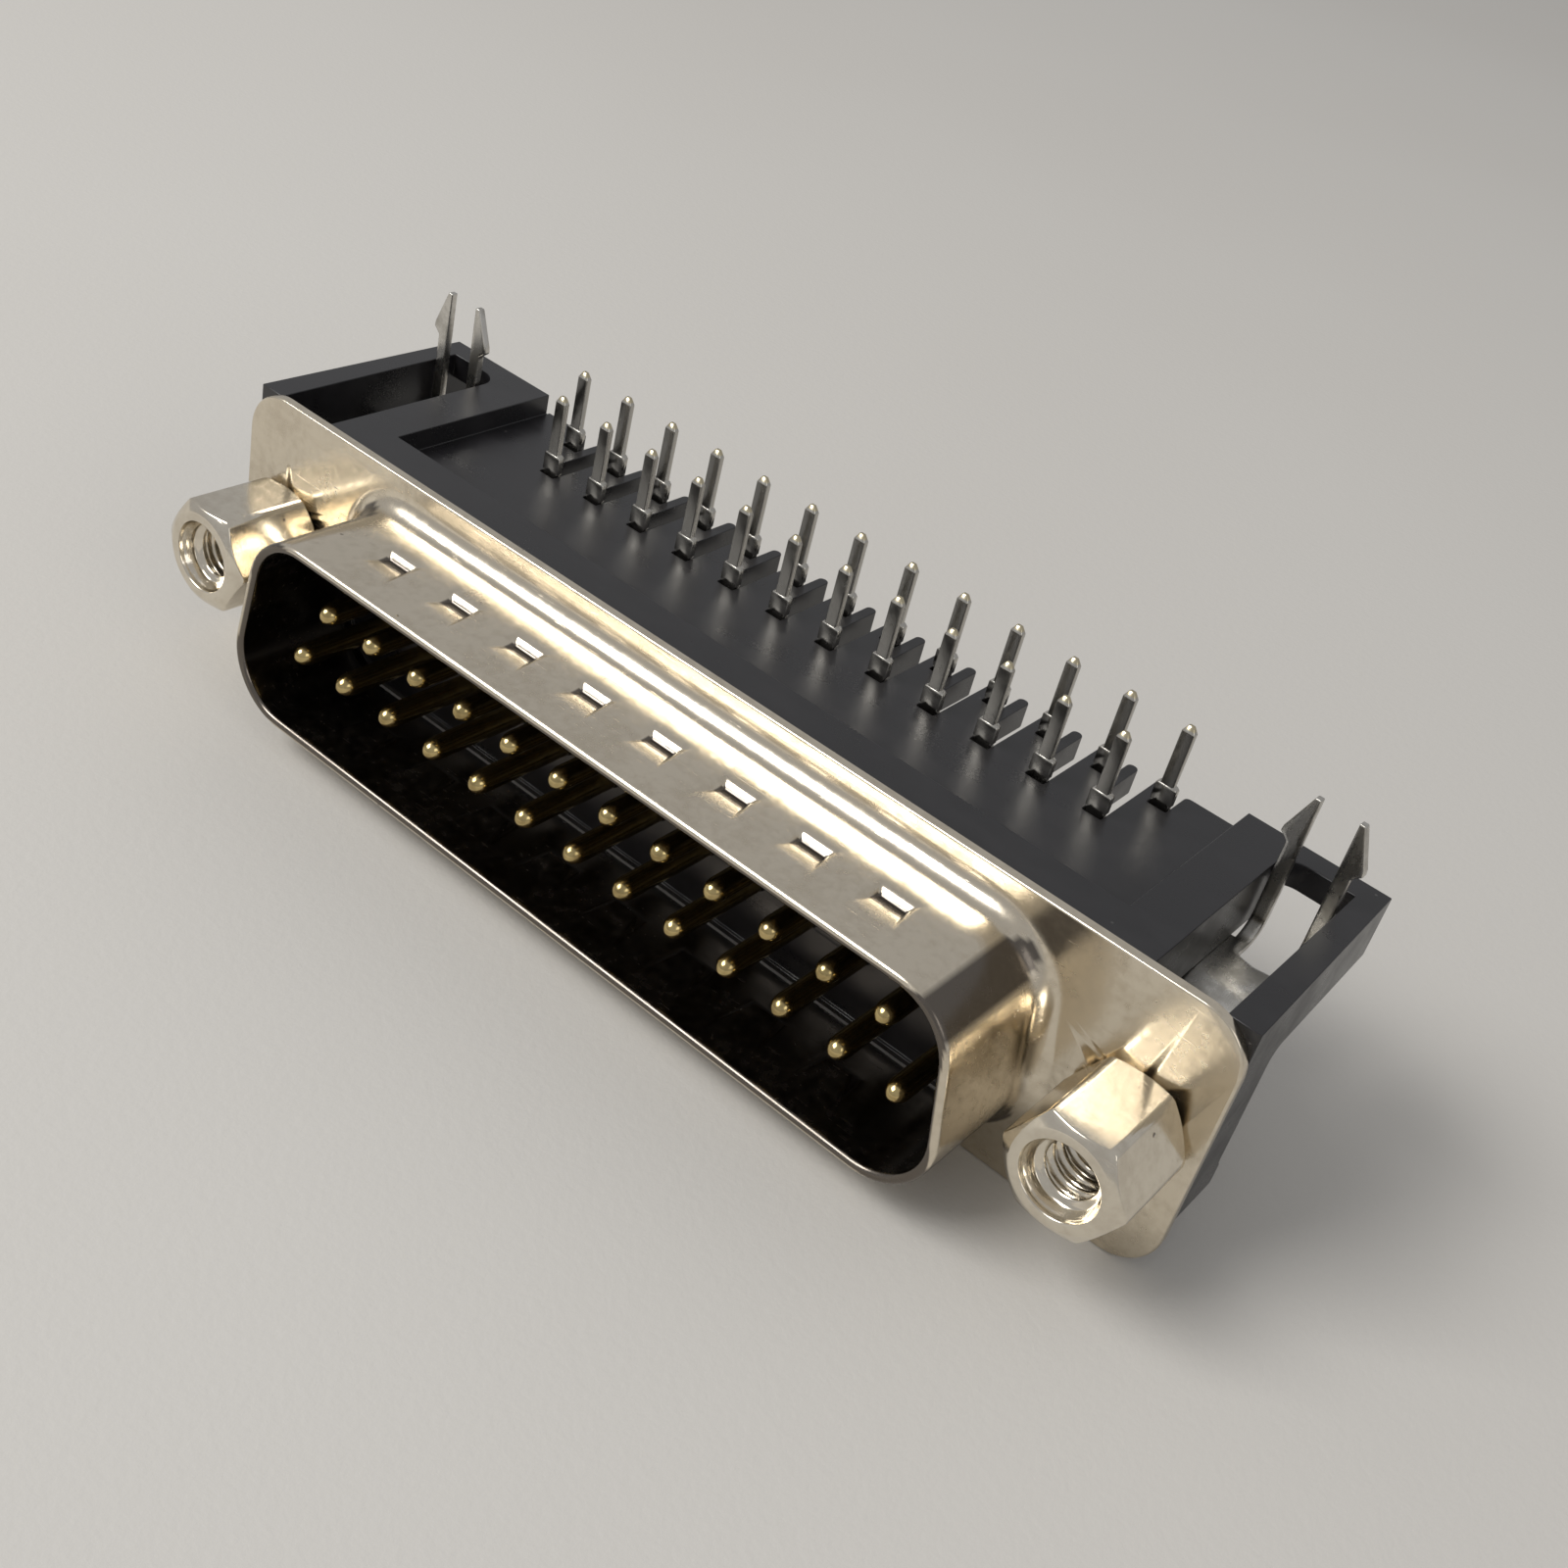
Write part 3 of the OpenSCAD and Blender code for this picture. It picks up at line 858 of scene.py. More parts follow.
class ThreadCutter(TreeMaker):
    """Presses a screw thread into the walls whose points carry the attribute thread."""

    name = "thread_cutter"
    inputs = {"Axis X": "NodeSocketFloat", "Pitch": "NodeSocketFloat", "Depth": "NodeSocketFloat"}
    flank_top = 1.3
    flank_slope = 3.2
    crest_blend = 0.25

    def build(self) -> Wire:
        """Moves each marked point towards the axis by the thread's tooth at its angle and depth.

        Returns:
            The threaded geometry.
        """
        bench = self.bench
        place = bench.wire("GeometryNodeInputPosition")
        split = bench.node("ShaderNodeSeparateXYZ", inputs={0: place})
        x, y, z = (Wire(bench, split.outputs[i]) for i in range(3))
        out = x - self.given("Axis X")
        angle = bench.math("ARCTAN2", z, out)
        phase = (y / self.given("Pitch") + angle / TURN).fraction()
        flank = self.flank_top - abs(phase - 0.5) * self.flank_slope
        crest = bench.math("SMOOTH_MIN", flank, 1.0, self.crest_blend)
        tooth = bench.math("MAXIMUM", crest, 0.0)
        mask = bench.wire("GeometryNodeInputNamedAttribute", {"data_type": "FLOAT"}, {"Name": "thread"})
        reach = bench.math("SQRT", out * out + z * z)
        move = tooth * mask * self.given("Depth") / reach
        offset = bench.wire("ShaderNodeCombineXYZ", inputs={0: -1 * out * move, 2: -1 * z * move})
        inputs = {"Geometry": self.given("Geometry"), "Offset": offset}
        return bench.wire("GeometryNodeSetPosition", inputs=inputs)


# ---------------------------------------------------------------- steel shell


@dataclass
class Dimple:
    """A grounding dimple: a wedge pressed into the wall, steep at the flange's end."""

    y: float = 2.45 * MM
    half_w: float = 0.80 * MM
    length: float = 1.65 * MM
    depth: float = 0.38 * MM
    wall_slope: float = 1.35
    flare: float = 0.10
    softness: float = 0.15 * MM

    def press(self, x: float, y: float) -> float:
        """How far the wall is pressed in.

        Args:
            x: Distance along the wall from the dimple's middle.
            y: Place along the mating axis.

        Returns:
            The depth.
        """
        back = -self.y - y
        ramp = self.depth * (1 - back / self.length)
        steep = self.wall_slope * back
        side = self.wall_slope * (self.half_w + self.flare * back - abs(x))
        lowest = min(ramp, steep, side)
        return max(0.0, (lowest + math.hypot(lowest, self.softness)) / 2 - 0.008 * MM)


@dataclass
class SteelShell:
    """The drawn shell: flange, root bend, D with its lip, and two rows of dimples."""

    places: Places
    # The shell's finish paints shade and dark reflection inside the D.
    finish: NickelFinish = field(default_factory=lambda: NickelFinish("shell_nickel", paints_inside_shade=True))
    dimple: Dimple = field(default_factory=Dimple)
    mouth_margin: float = 2.86 * MM
    row_margin: float = 2.76 * MM
    side_angle: float = 10.0
    mouth_corner_r: float = 2.6 * MM
    root_r: float = 1.0 * MM
    flange_corner_r: float = 2.2 * MM
    stud_r: float = 1.52 * MM
    dimple_count: int = 8
    dimple_end: float = 2.53 * MM
    rollover: float = 0.11 * MM
    rear_edge: float = 0.03 * MM
    hole_edge: float = 0.05 * MM
    corner_steps: int = 16

    def __post_init__(self) -> None:
        """Works out the D from the contacts."""
        self.mouth_w = self.places.long_x[-1] - self.places.long_x[0] + 2 * self.mouth_margin
        self.mouth_h = 2 * (self.places.row_z + self.row_margin)

    def corner_x(self, z: float) -> float:
        """Half width, at a height, of the line that the D's corner centres lie on.

        Args:
            z: The height.

        Returns:
            The half width.
        """
        lean = math.radians(self.side_angle)
        across = self.mouth_w / 2 * math.cos(lean) - (self.mouth_h / 2 + z) * math.sin(lean)
        return (across - self.mouth_corner_r) / math.cos(lean)

    def dimple_centres(self) -> list[float]:
        """X of each dimple of a row."""
        reach = self.corner_x(self.mouth_h / 2 - self.mouth_corner_r) - self.dimple_end
        return spread(-reach, reach, self.dimple_count)

    def side_columns(self, half: float) -> list[float]:
        """X of the points along a long side, close together at the dimples' walls.

        Args:
            half: Half the side's straight length.

        Returns:
            The places in rising order.
        """
        edge = self.dimple.half_w
        steps = [0.0, 0.2 * MM, 0.38 * MM]
        steps += spread(edge - 0.34 * MM, edge + 0.30 * MM, 13)
        steps += [edge + 0.42 * MM, edge + 0.62 * MM]
        inner = {round(c + s * d, 9) for c in self.dimple_centres() for s in (-1, 1) for d in steps}
        return [-half] + sorted(x for x in inner if abs(x) < half - 0.05 * MM) + [half]

    def outline(self) -> list[tuple[Flat, Flat]]:
        """The D's inside face as points with outward normals, anticlockwise from the bottom right.

        Returns:
            Pairs of place and normal in X and Z.
        """
        z = self.mouth_h / 2 - self.mouth_corner_r
        low, high = self.corner_x(-z), self.corner_x(z)
        lean = self.side_angle
        turns = [((low, -z), -90, lean), ((high, z), lean, 90), ((-high, z), 90, 180 - lean),
                 ((-low, -z), 180 - lean, 270)]
        line: list[tuple[Flat, Flat]] = []
        for index, (centre, start, end) in enumerate(turns):
            places = arc(centre, self.mouth_corner_r, start, end, self.corner_steps)
            line += list(zip(places, arc((0, 0), 1, start, end, self.corner_steps)))
            if index in (1, 3):
                up = 1 if index == 1 else -1
                side = self.side_columns(high if index == 1 else low)[1:-1]
                line += [((x, up * self.mouth_h / 2), (0.0, float(up))) for x in side[::-up]]
        return line

    def stations(self) -> list[Flat]:
        """Stations round the wall's section, closest together across the dimples' steep ends.

        Returns:
            Distance outwards from the D's inside face, and Y.
        """
        t = self.places.sheet_t
        root = (t + self.root_r, -self.root_r)
        lip_y = t / 2 - self.places.shell_depth
        steep = -self.dimple.y
        rows = spread(-self.root_r - 0.25 * MM, steep + 0.35 * MM, 4)
        rows += spread(steep + 0.22 * MM, steep - 0.42 * MM, 17)
        rows += spread(steep - 0.5 * MM, steep - self.dimple.length - 0.2 * MM, 13)
        rows += spread(steep - self.dimple.length - 0.5 * MM, lip_y + 0.15 * MM, 4)
        line = arc(root, self.root_r, 90, 180, 12)
        line += [(t, y) for y in rows]
        line += arc((t / 2, lip_y), t / 2, 0, -90, 6)
        line += arc((t / 2, lip_y), t / 2, -110, -180, 4)
        line += [(0.0, y) for y in rows[::-2]]
        line += arc(root, self.root_r + t, 180, 90, 10)
        return line

    def pressed(self, place: Flat, normal: Flat, y: float) -> float:
        """Depth of the dimples at a point of the wall.

        Args:
            place: X and Z of the point on the D's inside face.
            normal: The outward normal there.
            y: Place along the mating axis.

        Returns:
            How far the wall is pressed in.
        """
        if abs(normal[1]) < 1 or not -5 * MM < y < -1.5 * MM:
            return 0.0
        nearest = min(self.dimple_centres(), key=lambda c: abs(place[0] - c))
        return self.dimple.press(place[0] - nearest, y)

    def build(self) -> bpy.types.Object:
        """Builds the shell as one closed sheet.

        Returns:
            The piece.
        """
        sketch = RingMesh()
        outline = self.outline()
        t = self.places.sheet_t
        walls = []
        for out, y in self.stations():
            ring = []
            for place, normal in outline:
                reach = out - self.pressed(place, normal, y)
                ring.append((place[0] + normal[0] * reach, y, place[1] + normal[1] * reach))
            walls.append(sketch.ring(ring))
        sketch.skin(walls)
        front, rear = [walls[0]], [walls[-1]]
        rolls = [(self.rollover - x, self.rollover + y) for x, y in arc((0, 0), self.rollover, -90, 0, 5)]
        rolls += [(self.rear_edge - x, t - self.rear_edge + y)
                  for x, y in arc((0, 0), self.rear_edge, 0, 90, 2)]
        rim = []
        for inset, y in rolls:
            plan = round_rect(self.places.flange_w - 2 * inset, self.places.flange_h - 2 * inset,
                              self.flange_corner_r - inset)
            rim.append(sketch.ring((x, y, z) for x, z in plan))
        sketch.skin(rim)
        front.append(rim[0])
        rear.append(rim[-1])
        for side in Side:
            centre = (side.value * self.places.screw_x, 0.0)
            hole = []
            edges = [(self.hole_edge, 0.0), (0.0, self.hole_edge), (0.0, t - self.rear_edge), (self.rear_edge, t)]
            for inset, y in edges:
                plan = arc(centre, self.stud_r + inset, 0, 360, 48)[:-1]
                hole.append(sketch.ring((x, y, z) for x, z in plan))
            sketch.skin(hole)
            front.append(hole[0])
            rear.append(hole[-1])
        sketch.fill(front)
        sketch.fill(rear)
        piece = sketch.piece("steel_shell")
        self.mark_painted_inside_shade(piece)
        even_normals(piece)
        hand_over(piece, Slot.SHELL, self.finish.material(), "front_shell")
        return piece

    def mark_painted_inside_shade(self, piece: bpy.types.Object) -> None:
        """Stores which points lie inside the D and on the inner half of its lip, where the finish paints shade
        and dark reflection.

        Args:
            piece: The shell.
        """
        flag = piece.data.attributes.new("inner", "FLOAT", "POINT")
        # The flagged band takes in half the lip's thickness, so the finish paints the lip's inner half dark as
        # shade too.
        half = self.mouth_h / 2 + self.places.sheet_t * 0.5
        lean = math.radians(self.side_angle)
        values = []
        for point in piece.data.vertices:
            x, y, z = point.co
            wide = self.mouth_w / 2 + self.places.sheet_t * 0.5 - (z + self.mouth_h / 2) * math.tan(lean)
            within = y < -0.2 * MM and abs(z) < half and abs(x) < wide
            values.append(1.0 if within else 0.0)
        flag.data.foreach_set("value", values)


# ---------------------------------------------------------------- moulded housing


@dataclass
class MouldedHousing:
    """The black moulding, taken from its solid, with the small radii of a real mould."""

    finish: MouldedFinish = field(default_factory=lambda: MouldedFinish("housing_plastic"))
    edge_r: float = 0.045 * MM

    def build(self) -> bpy.types.Object:
        """Copies the solid and rounds its edges.

        Returns:
            The piece.
        """
        piece = cad_copy("housing", "moulded_housing")
        bevel(piece, self.edge_r, 28)
        even_normals(piece)
        hand_over(piece, Slot.HOUSING, self.finish.material(), "housing")
        return piece


# ---------------------------------------------------------------- contacts


@dataclass
class ContactRows:
    """Both rows of contacts: a round mating pin, a bent strip, a shoulder and a solder tail."""

    places: Places
    repeat: RowOfContacts
    finish: PlatedContactFinish = field(default_factory=lambda: PlatedContactFinish("contact_alloy"))
    tip_l: float = 0.75 * MM
    pin_end_y: float = 2.175 * MM
    strip_t: float = 0.35 * MM
    strip_w: float = 0.84 * MM
    bend_r: float = 0.5 * MM
    shoulder_w: float = 0.96 * MM
    tail_w: float = 0.58 * MM
    tip_w: float = 0.24 * MM
    tip_t: float = 0.16 * MM
    tip_slope: float = 0.30 * MM
    shoulder_low: float = 0.95 * MM
    edge: float = 0.045 * MM

    def pin(self, sketch: RingMesh, z: float) -> None:
        """Adds the mating pin with its rounded tip.

        Args:
            sketch: The mesh to add to.
            z: Height of the row.
        """
        r, start = self.places.pin_r, self.places.pin_tip_y
        bow = [(r * math.sin(a), start + self.tip_l * (1 - math.cos(a)))
               for a in spread(math.radians(9), math.radians(90), 10)]
        line = bow + [(r, 0.0), (r, self.pin_end_y), (0.04 * MM, self.pin_end_y)]
        rings = []
        for radius, y in line:
            circle = arc((0, z), radius, 0, 360, 32)[:-1]
            rings.append(sketch.ring((x, y, height) for x, height in circle))
        sketch.skin(rings)
        sketch.cap(rings[0])
        sketch.cap(rings[-1][::-1])

    def strip_line(self, z: float, y: float) -> list[tuple[Flat, Flat, float, float]]:
        """Stations of the strip, from the pin over the bend and the shoulder to the tail's tip.

        Args:
            z: Height of the row.
            y: Middle of the solder tail.

        Returns:
            Place and normal in Y and Z, half width and half thickness.
        """
        r = self.bend_r + self.strip_t / 2
        w, t = self.strip_w / 2, self.strip_t / 2
        seat, top = self.places.seat_z, self.places.tail_tip_z
        line = [((self.pin_end_y - 0.4 * MM, z), (0.0, -1.0), w, t)]
        for (py, pz), (ny, nz) in zip(arc((y - r, z + r), r, -90, 0, 10), arc((0, 0), 1, -90, 0, 10)):
            line.append(((py, pz), (ny, nz), w, t))
        upright = [
            (seat - self.shoulder_low, w, t), (seat - self.shoulder_low + 0.1 * MM, self.shoulder_w / 2, t),
            (seat - 0.10 * MM, self.shoulder_w / 2, t),
            (seat - 0.02 * MM, self.shoulder_w / 2 - 0.08 * MM, t),
            (seat, self.tail_w / 2 + 0.02 * MM, t), (seat + 0.03 * MM, self.tail_w / 2, t),
            (top - self.tip_slope - 0.02 * MM, self.tail_w / 2, t),
            (top - self.tip_slope + 0.02 * MM, self.tail_w / 2 - 0.015 * MM, t - 0.01 * MM),
            (top - 0.02 * MM, self.tip_w / 2 + 0.01 * MM, self.tip_t / 2 + 0.01 * MM),
            (top, self.tip_w / 2 - 0.02 * MM, self.tip_t / 2 - 0.02 * MM)]
        return line + [((y, height), (1.0, 0.0), half_w, half_t) for height, half_w, half_t in upright]

    def strip(self, sketch: RingMesh, z: float, y: float) -> None:
        """Adds the strip with bevelled edges.

        Args:
            sketch: The mesh to add to.
            z: Height of the row.
            y: Middle of the solder tail.
        """
        rings = []
        for (py, pz), (ny, nz), w, t in self.strip_line(z, y):
            cut = min(self.edge, t * 0.4)
            section = [(w - cut, -t), (w, cut - t), (w, t - cut), (w - cut, t),
                       (cut - w, t), (-w, t - cut), (-w, cut - t), (cut - w, -t)]
            rings.append(sketch.ring((x, py + ny * out, pz + nz * out) for x, out in section))
        sketch.skin(rings)
        sketch.cap(rings[0])
        sketch.cap(rings[-1][::-1])

    def row(self, name: str, z: float, tail_y: float, places: Sequence[float], nodes: Sequence[str],
            material: bpy.types.Material) -> bpy.types.Object:
        """Builds one contact, repeats it along its row and hands the row over.

        Args:
            name: The row's name.
            z: Height of its pins.
            tail_y: Middle of its solder tails.
            places: X of each contact.
            nodes: The CAD nodes of the row.
            material: The contacts' material.

        Returns:
            The piece.
        """
        sketch = RingMesh()
        self.pin(sketch, z)
        self.strip(sketch, z, tail_y)
        piece = sketch.piece(name)
        self.repeat.apply(piece, Count=len(places), First_X=places[0], Pitch=places[1] - places[0],
                          Finish=material)
        even_normals(piece)
        hand_over(piece, Slot.CONTACT, material, *nodes)
        return piece

    def build(self) -> list[bpy.types.Object]:
        """Builds both rows.

        Returns:
            The long row and the short row.
        """
        p = self.places
        names = [f"contact_{k + 1:02d}" for k in range(len(p.long_x) + len(p.short_x))]
        material = self.finish.material()
        split = len(p.long_x)
        return [self.row("contacts_long_row", -p.row_z, p.rear_tail_y, p.long_x, names[:split], material),
                self.row("contacts_short_row", p.row_z, p.tail_y, p.short_x, names[split:], material)]


# ---------------------------------------------------------------- screw sockets


@dataclass
class ScrewSockets:
    """The turned hexagonal sockets: chamfers, countersink, threaded hole and threaded stud."""

    places: Places
    cutter: ThreadCutter
    finish: NickelFinish = field(default_factory=lambda: NickelFinish(
        "socket_nickel", bright=(0.76, 0.70, 0.59), dull=(0.64, 0.575, 0.475), roughness=0.13,
        roughness_range=0.07))
    chamfer: float = 32.0
    face_inset: float = 0.26 * MM
    thread_r: float = 1.42 * MM
    thread_depth: float = 3.3 * MM
    thread_pitch: float = 0.635 * MM
    tooth: float = 0.33 * MM
    countersink_w: float = 0.23 * MM
    countersink_depth: float = 0.55 * MM
    stud_gap: float = 0.03 * MM
    corner_flat: float = 0.05 * MM
    edge: float = 0.05 * MM
    rows_per_turn: int = 12
    pole_r: float = 0.02 * MM
    stud_neck: float = 0.3 * MM
    stud_chamfer: float = 0.25 * MM
    run_in: float = 0.2 * MM

    def section(self, angle: float) -> list[Flat]:
        """Half section of the socket at an angle: radius and Y.

        Args:
            angle: The angle round the axis from a corner of the hexagon, in radians.

        Returns:
            The section from the bottom of the hole, over the hexagon, to the stud's end.
        """
        apothem = self.places.hex_af / 2
        face, mouth = apothem - self.face_inset, -self.places.hex_l
        off = abs((angle + math.pi / 6) % (math.pi / 3) - math.pi / 6)
        corner = apothem / math.cos(math.pi / 6) - self.corner_flat
        reach = min(apothem / math.cos(math.pi / 6 - off), corner)
        fall = (reach - face) * math.tan(math.radians(self.chamfer))
        neck = mouth + self.countersink_depth
        end = neck + self.thread_depth
        wide = self.thread_r + self.countersink_w
        stud_r = self.thread_r - self.stud_gap
        stud_end = self.places.stud_end_y
        rows = int(self.thread_depth / self.thread_pitch * self.rows_per_turn)
        line = [(self.pole_r, end + self.thread_r * 0.6), (self.thread_r * 0.75, end + 0.1 * MM)]
        line += [(self.thread_r, y) for y in spread(end, neck, rows)]
        body = softened([(self.thread_r, neck), (wide - 0.05 * MM, mouth + 0.22 * MM), (wide, mouth),
                         (face, mouth), (reach, mouth + fall), (reach, -fall), (face, 0.0),
                         (stud_r, 0.0)], self.edge)
        line += body[1:]
        turns = int((stud_end - 0.6 * MM) / self.thread_pitch * self.rows_per_turn * 0.75)
        line += [(stud_r, y) for y in spread(self.stud_neck, stud_end - self.stud_chamfer, turns)]
        return line + [(stud_r - self.stud_chamfer, stud_end), (self.pole_r, stud_end)]

    def angles(self) -> list[float]:
        """Angles of the columns, closer together at the hexagon's corners.

        Returns:
            The angles in radians.
        """
        corner = [0.0, 0.013, 0.035, 0.09, 0.18, 0.28, 0.38, 0.46]
        sector = sorted({round(a, 6) for a in corner} | {round(math.pi / 3 - a, 6) for a in corner[1:]})
        return [k * math.pi / 3 + a for k in range(6) for a in sector]

    def build_one(self, side: Side, material: bpy.types.Material) -> bpy.types.Object:
        """Builds one socket.

        Args:
            side: Its end of the plug.
            material: Its material.

        Returns:
            The piece.
        """
        sketch = RingMesh()
        axis = side.value * self.places.screw_x
        columns = [self.section(a) for a in self.angles()]
        rings = []
        for k in range(len(columns[0])):
            ring = [(axis + column[k][0] * math.cos(a), column[k][1], column[k][0] * math.sin(a))
                    for a, column in zip(self.angles(), columns)]
            rings.append(sketch.ring(ring))
        sketch.skin(rings)
        sketch.cap(rings[0])
        sketch.cap(rings[-1][::-1])
        piece = sketch.piece(f"screw_socket_{side.word}")
        self.mark_thread(piece, axis)
        self.cutter.apply(piece, Axis_X=axis, Pitch=self.thread_pitch, Depth=self.tooth, Finish=material)
        even_normals(piece)
        hand_over(piece, Slot.SOCKET, material, f"jack_socket_{side.word}")
        return piece

    def mark_thread(self, piece: bpy.types.Object, axis: float) -> None:
        """Stores how much thread each point carries.

        Args:
            piece: The socket.
            axis: X of its axis.
        """
        neck = self.countersink_depth - self.places.hex_l
        stud_r = self.thread_r - self.stud_gap
        values = []
        for point in piece.data.vertices:
            x, y, z = point.co
            reach = math.hypot(x - axis, z)
            amount = 0.0
            if y < 0 and abs(reach - self.thread_r) < 0.01 * MM:
                amount = min(1.0, max(0.0, (y - neck) / self.run_in))
            elif y > 0.05 * MM and abs(reach - stud_r) < 0.01 * MM:
                amount = min(1.0, max(0.0, (y - self.stud_neck) / self.stud_neck))
            values.append(amount)
        piece.data.attributes.new("thread", "FLOAT", "POINT").data.foreach_set("value", values)

    def build(self) -> list[bpy.types.Object]:
        """Builds both sockets.

        Returns:
            The pieces.
        """
        material = self.finish.material()
        return [self.build_one(side, material) for side in Side]


# ---------------------------------------------------------------- board locks


@dataclass
class BoardLocks:
    """The folded board locks: screw plate with its collar, strap, and a fork with barbs."""

    places: Places
    finish: TinnedFinish = field(default_factory=lambda: TinnedFinish("lock_tin"))
    sheet_t: float = 0.35 * MM
    low_r: float = 2.0 * MM
    high_r: float = 0.9 * MM
    strap_drop: float = 2.92 * MM
    fork_w: float = 2.8 * MM
    slot_w: float = 1.6 * MM
    slot_l: float = 1.9 * MM
    slot_r: float = 0.4 * MM
    barb_w: float = 3.5 * MM
    tip_w: float = 2.1 * MM
    grip_drop: float = 2.0 * MM
    hole_r: float = 1.42 * MM
    collar_h: float = 1.0 * MM
    collar_t: float = 0.45 * MM
    edge_r: float = 0.05 * MM

    def fold(self) -> list[tuple[Flat, str]]:
        """Stations along the folded sheet's middle, from the plate's foot to the fork's tip.

        Returns:
            Place in Y and Z, and the stretch of the sheet: plate, strap or fork.
        """
        t = self.sheet_t
        plate_y = self.places.lock_front_y
        face_y = self.places.lock_rear_y - t
        strap_z = self.places.seat_z - self.strap_drop
        low = (plate_y + self.low_r, strap_z - self.low_r)
        high = (face_y - self.high_r, strap_z + self.high_r)
        half = self.places.lock_w / 2
        line: list[tuple[Flat, str]] = []
        for angle in spread(-90, 0, 19):
            z = half * math.sin(math.radians(angle))
            line.append(((plate_y + t / 2, z), "plate"))
        for z in spread(0.1 * MM, low[1] - 0.02 * MM, 14):
            line.append(((plate_y + t / 2, z), "plate"))
        line += [(place, "strap") for place in arc(low, self.low_r - t / 2, 180, 90, 12)]
        strap = spread(low[0] + 0.1 * MM, high[0] - 0.06 * MM, 24)
        line += [((y, strap_z - t / 2), "strap") for y in strap]
        line += [(place, "fork") for place in arc(high, self.high_r + t / 2, -90, 0, 14)]
        grip = self.places.fork_tip_z - self.grip_drop
        uprights = [high[1] + 0.4 * MM, grip - 0.4 * MM, grip - 0.25 * MM, grip - 0.1 * MM, grip + 0.05 * MM,
                    grip + 0.3 * MM, grip + 0.6 * MM, grip + 1.2 * MM, self.places.fork_tip_z - 0.2 * MM,
                    self.places.fork_tip_z - 0.08 * MM, self.places.fork_tip_z]
        return line + [((face_y + t / 2, z), "fork") for z in uprights]

    def widths(self, place: Flat, stretch: str) -> Flat:
        """Half widths of the sheet and of the opening in it.

        Args:
            place: Y and Z of the station.
            stretch: plate, strap or fork.

        Returns:
            The outer half width and the opening's.
        """
        y, z = place
        half = self.places.lock_w / 2
        slot_end = self.places.lock_rear_y - self.sheet_t - self.slot_l
        if stretch == "plate":
            outer = math.sqrt(max(half * half - z * z, (0.25 * MM) ** 2)) if z < 0 else half
            return outer, math.sqrt(max(self.hole_r ** 2 - z * z, 0.0))
        gap = 0.0
        if y > slot_end:
            into = min(self.slot_r, y - slot_end)
            gap = self.slot_w / 2 - self.slot_r + math.sqrt(self.slot_r ** 2 - (self.slot_r - into) ** 2)
        if stretch == "strap":
            return half, gap
        leg, barb, tip = self.fork_w / 2, self.barb_w / 2, self.tip_w / 2
        grip, top = self.places.fork_tip_z - self.grip_drop, self.places.fork_tip_z
        corners = [(grip - 0.25 * MM, leg), (grip + 0.05 * MM, barb), (grip + 0.3 * MM, barb - 0.03 * MM),
                   (top - 0.2 * MM, tip + 0.08 * MM), (top, tip)]
        outer = leg
        for (z0, w0), (z1, w1) in zip(corners, corners[1:]):
            if z0 <= z <= z1:
                outer = w0 + (w1 - w0) * (z - z0) / (z1 - z0)
        return outer, gap

    def build_one(self, side: Side, material: bpy.types.Material) -> bpy.types.Object:
        """Builds one lock from its blank, folded along the stations.

        Args:
            side: Its end of the plug.
            material: Its material.

        Returns:
            The piece.
        """
        sketch = RingMesh()
        axis = side.value * self.places.screw_x
        for sign in (-1, 1):
            strips = []
            for place, stretch in self.fold():
                outer, gap = self.widths(place, stretch)
                across = [gap + (outer - gap) * k / 4 for k in range(5)]
                strips.append(sketch.ring((axis + sign * x, place[0], place[1]) for x in across))
            sketch.skin(strips, closed=False)
        piece = sketch.piece(f"board_lock_spring_{side.word}")
        wall = piece.modifiers.new("sheet", "SOLIDIFY")
        wall.thickness = self.sheet_t
        wall.offset = 0.0
        wall.use_even_offset = True
        plain_mesh(piece)
        collar = self.collar(axis)
        bpy.ops.object.select_all(action="DESELECT")
        for o in (collar, piece):
            o.select_set(True)
        bpy.context.view_layer.objects.active = piece
        bpy.ops.object.join()
        bevel(piece, self.edge_r, 40)
        even_normals(piece)
        hand_over(piece, Slot.LOCK, material, f"board_lock_{side.word}")
        return piece

    def collar(self, axis: float) -> bpy.types.Object:
        """The drawn collar that the stud is screwed into.

        Args:
            axis: X of the screw.

        Returns:
            The collar.
        """
        low = self.places.lock_front_y + self.sheet_t * 0.5
        high = self.places.lock_front_y + self.sheet_t + self.collar_h
        outer = self.hole_r + self.collar_t
        line = softened([(self.hole_r, low), (self.hole_r, high), (outer, high),
                         (outer, low + self.sheet_t * 0.6), (outer + 0.15 * MM, low)], 0.08 * MM)
        sketch = RingMesh()
        rings = []
        for radius, y in line:
            circle = arc((axis, 0), radius, 0, 360, 48)[:-1]
            rings.append(sketch.ring((x, y, z) for x, z in circle))
        sketch.skin(rings + rings[:1])
        return sketch.piece("collar")

    def build(self) -> list[bpy.types.Object]:
        """Builds both locks.

        Returns:
            The pieces.
        """
        material = self.finish.material()
        return [self.build_one(side, material) for side in Side]


# ---------------------------------------------------------------- studio


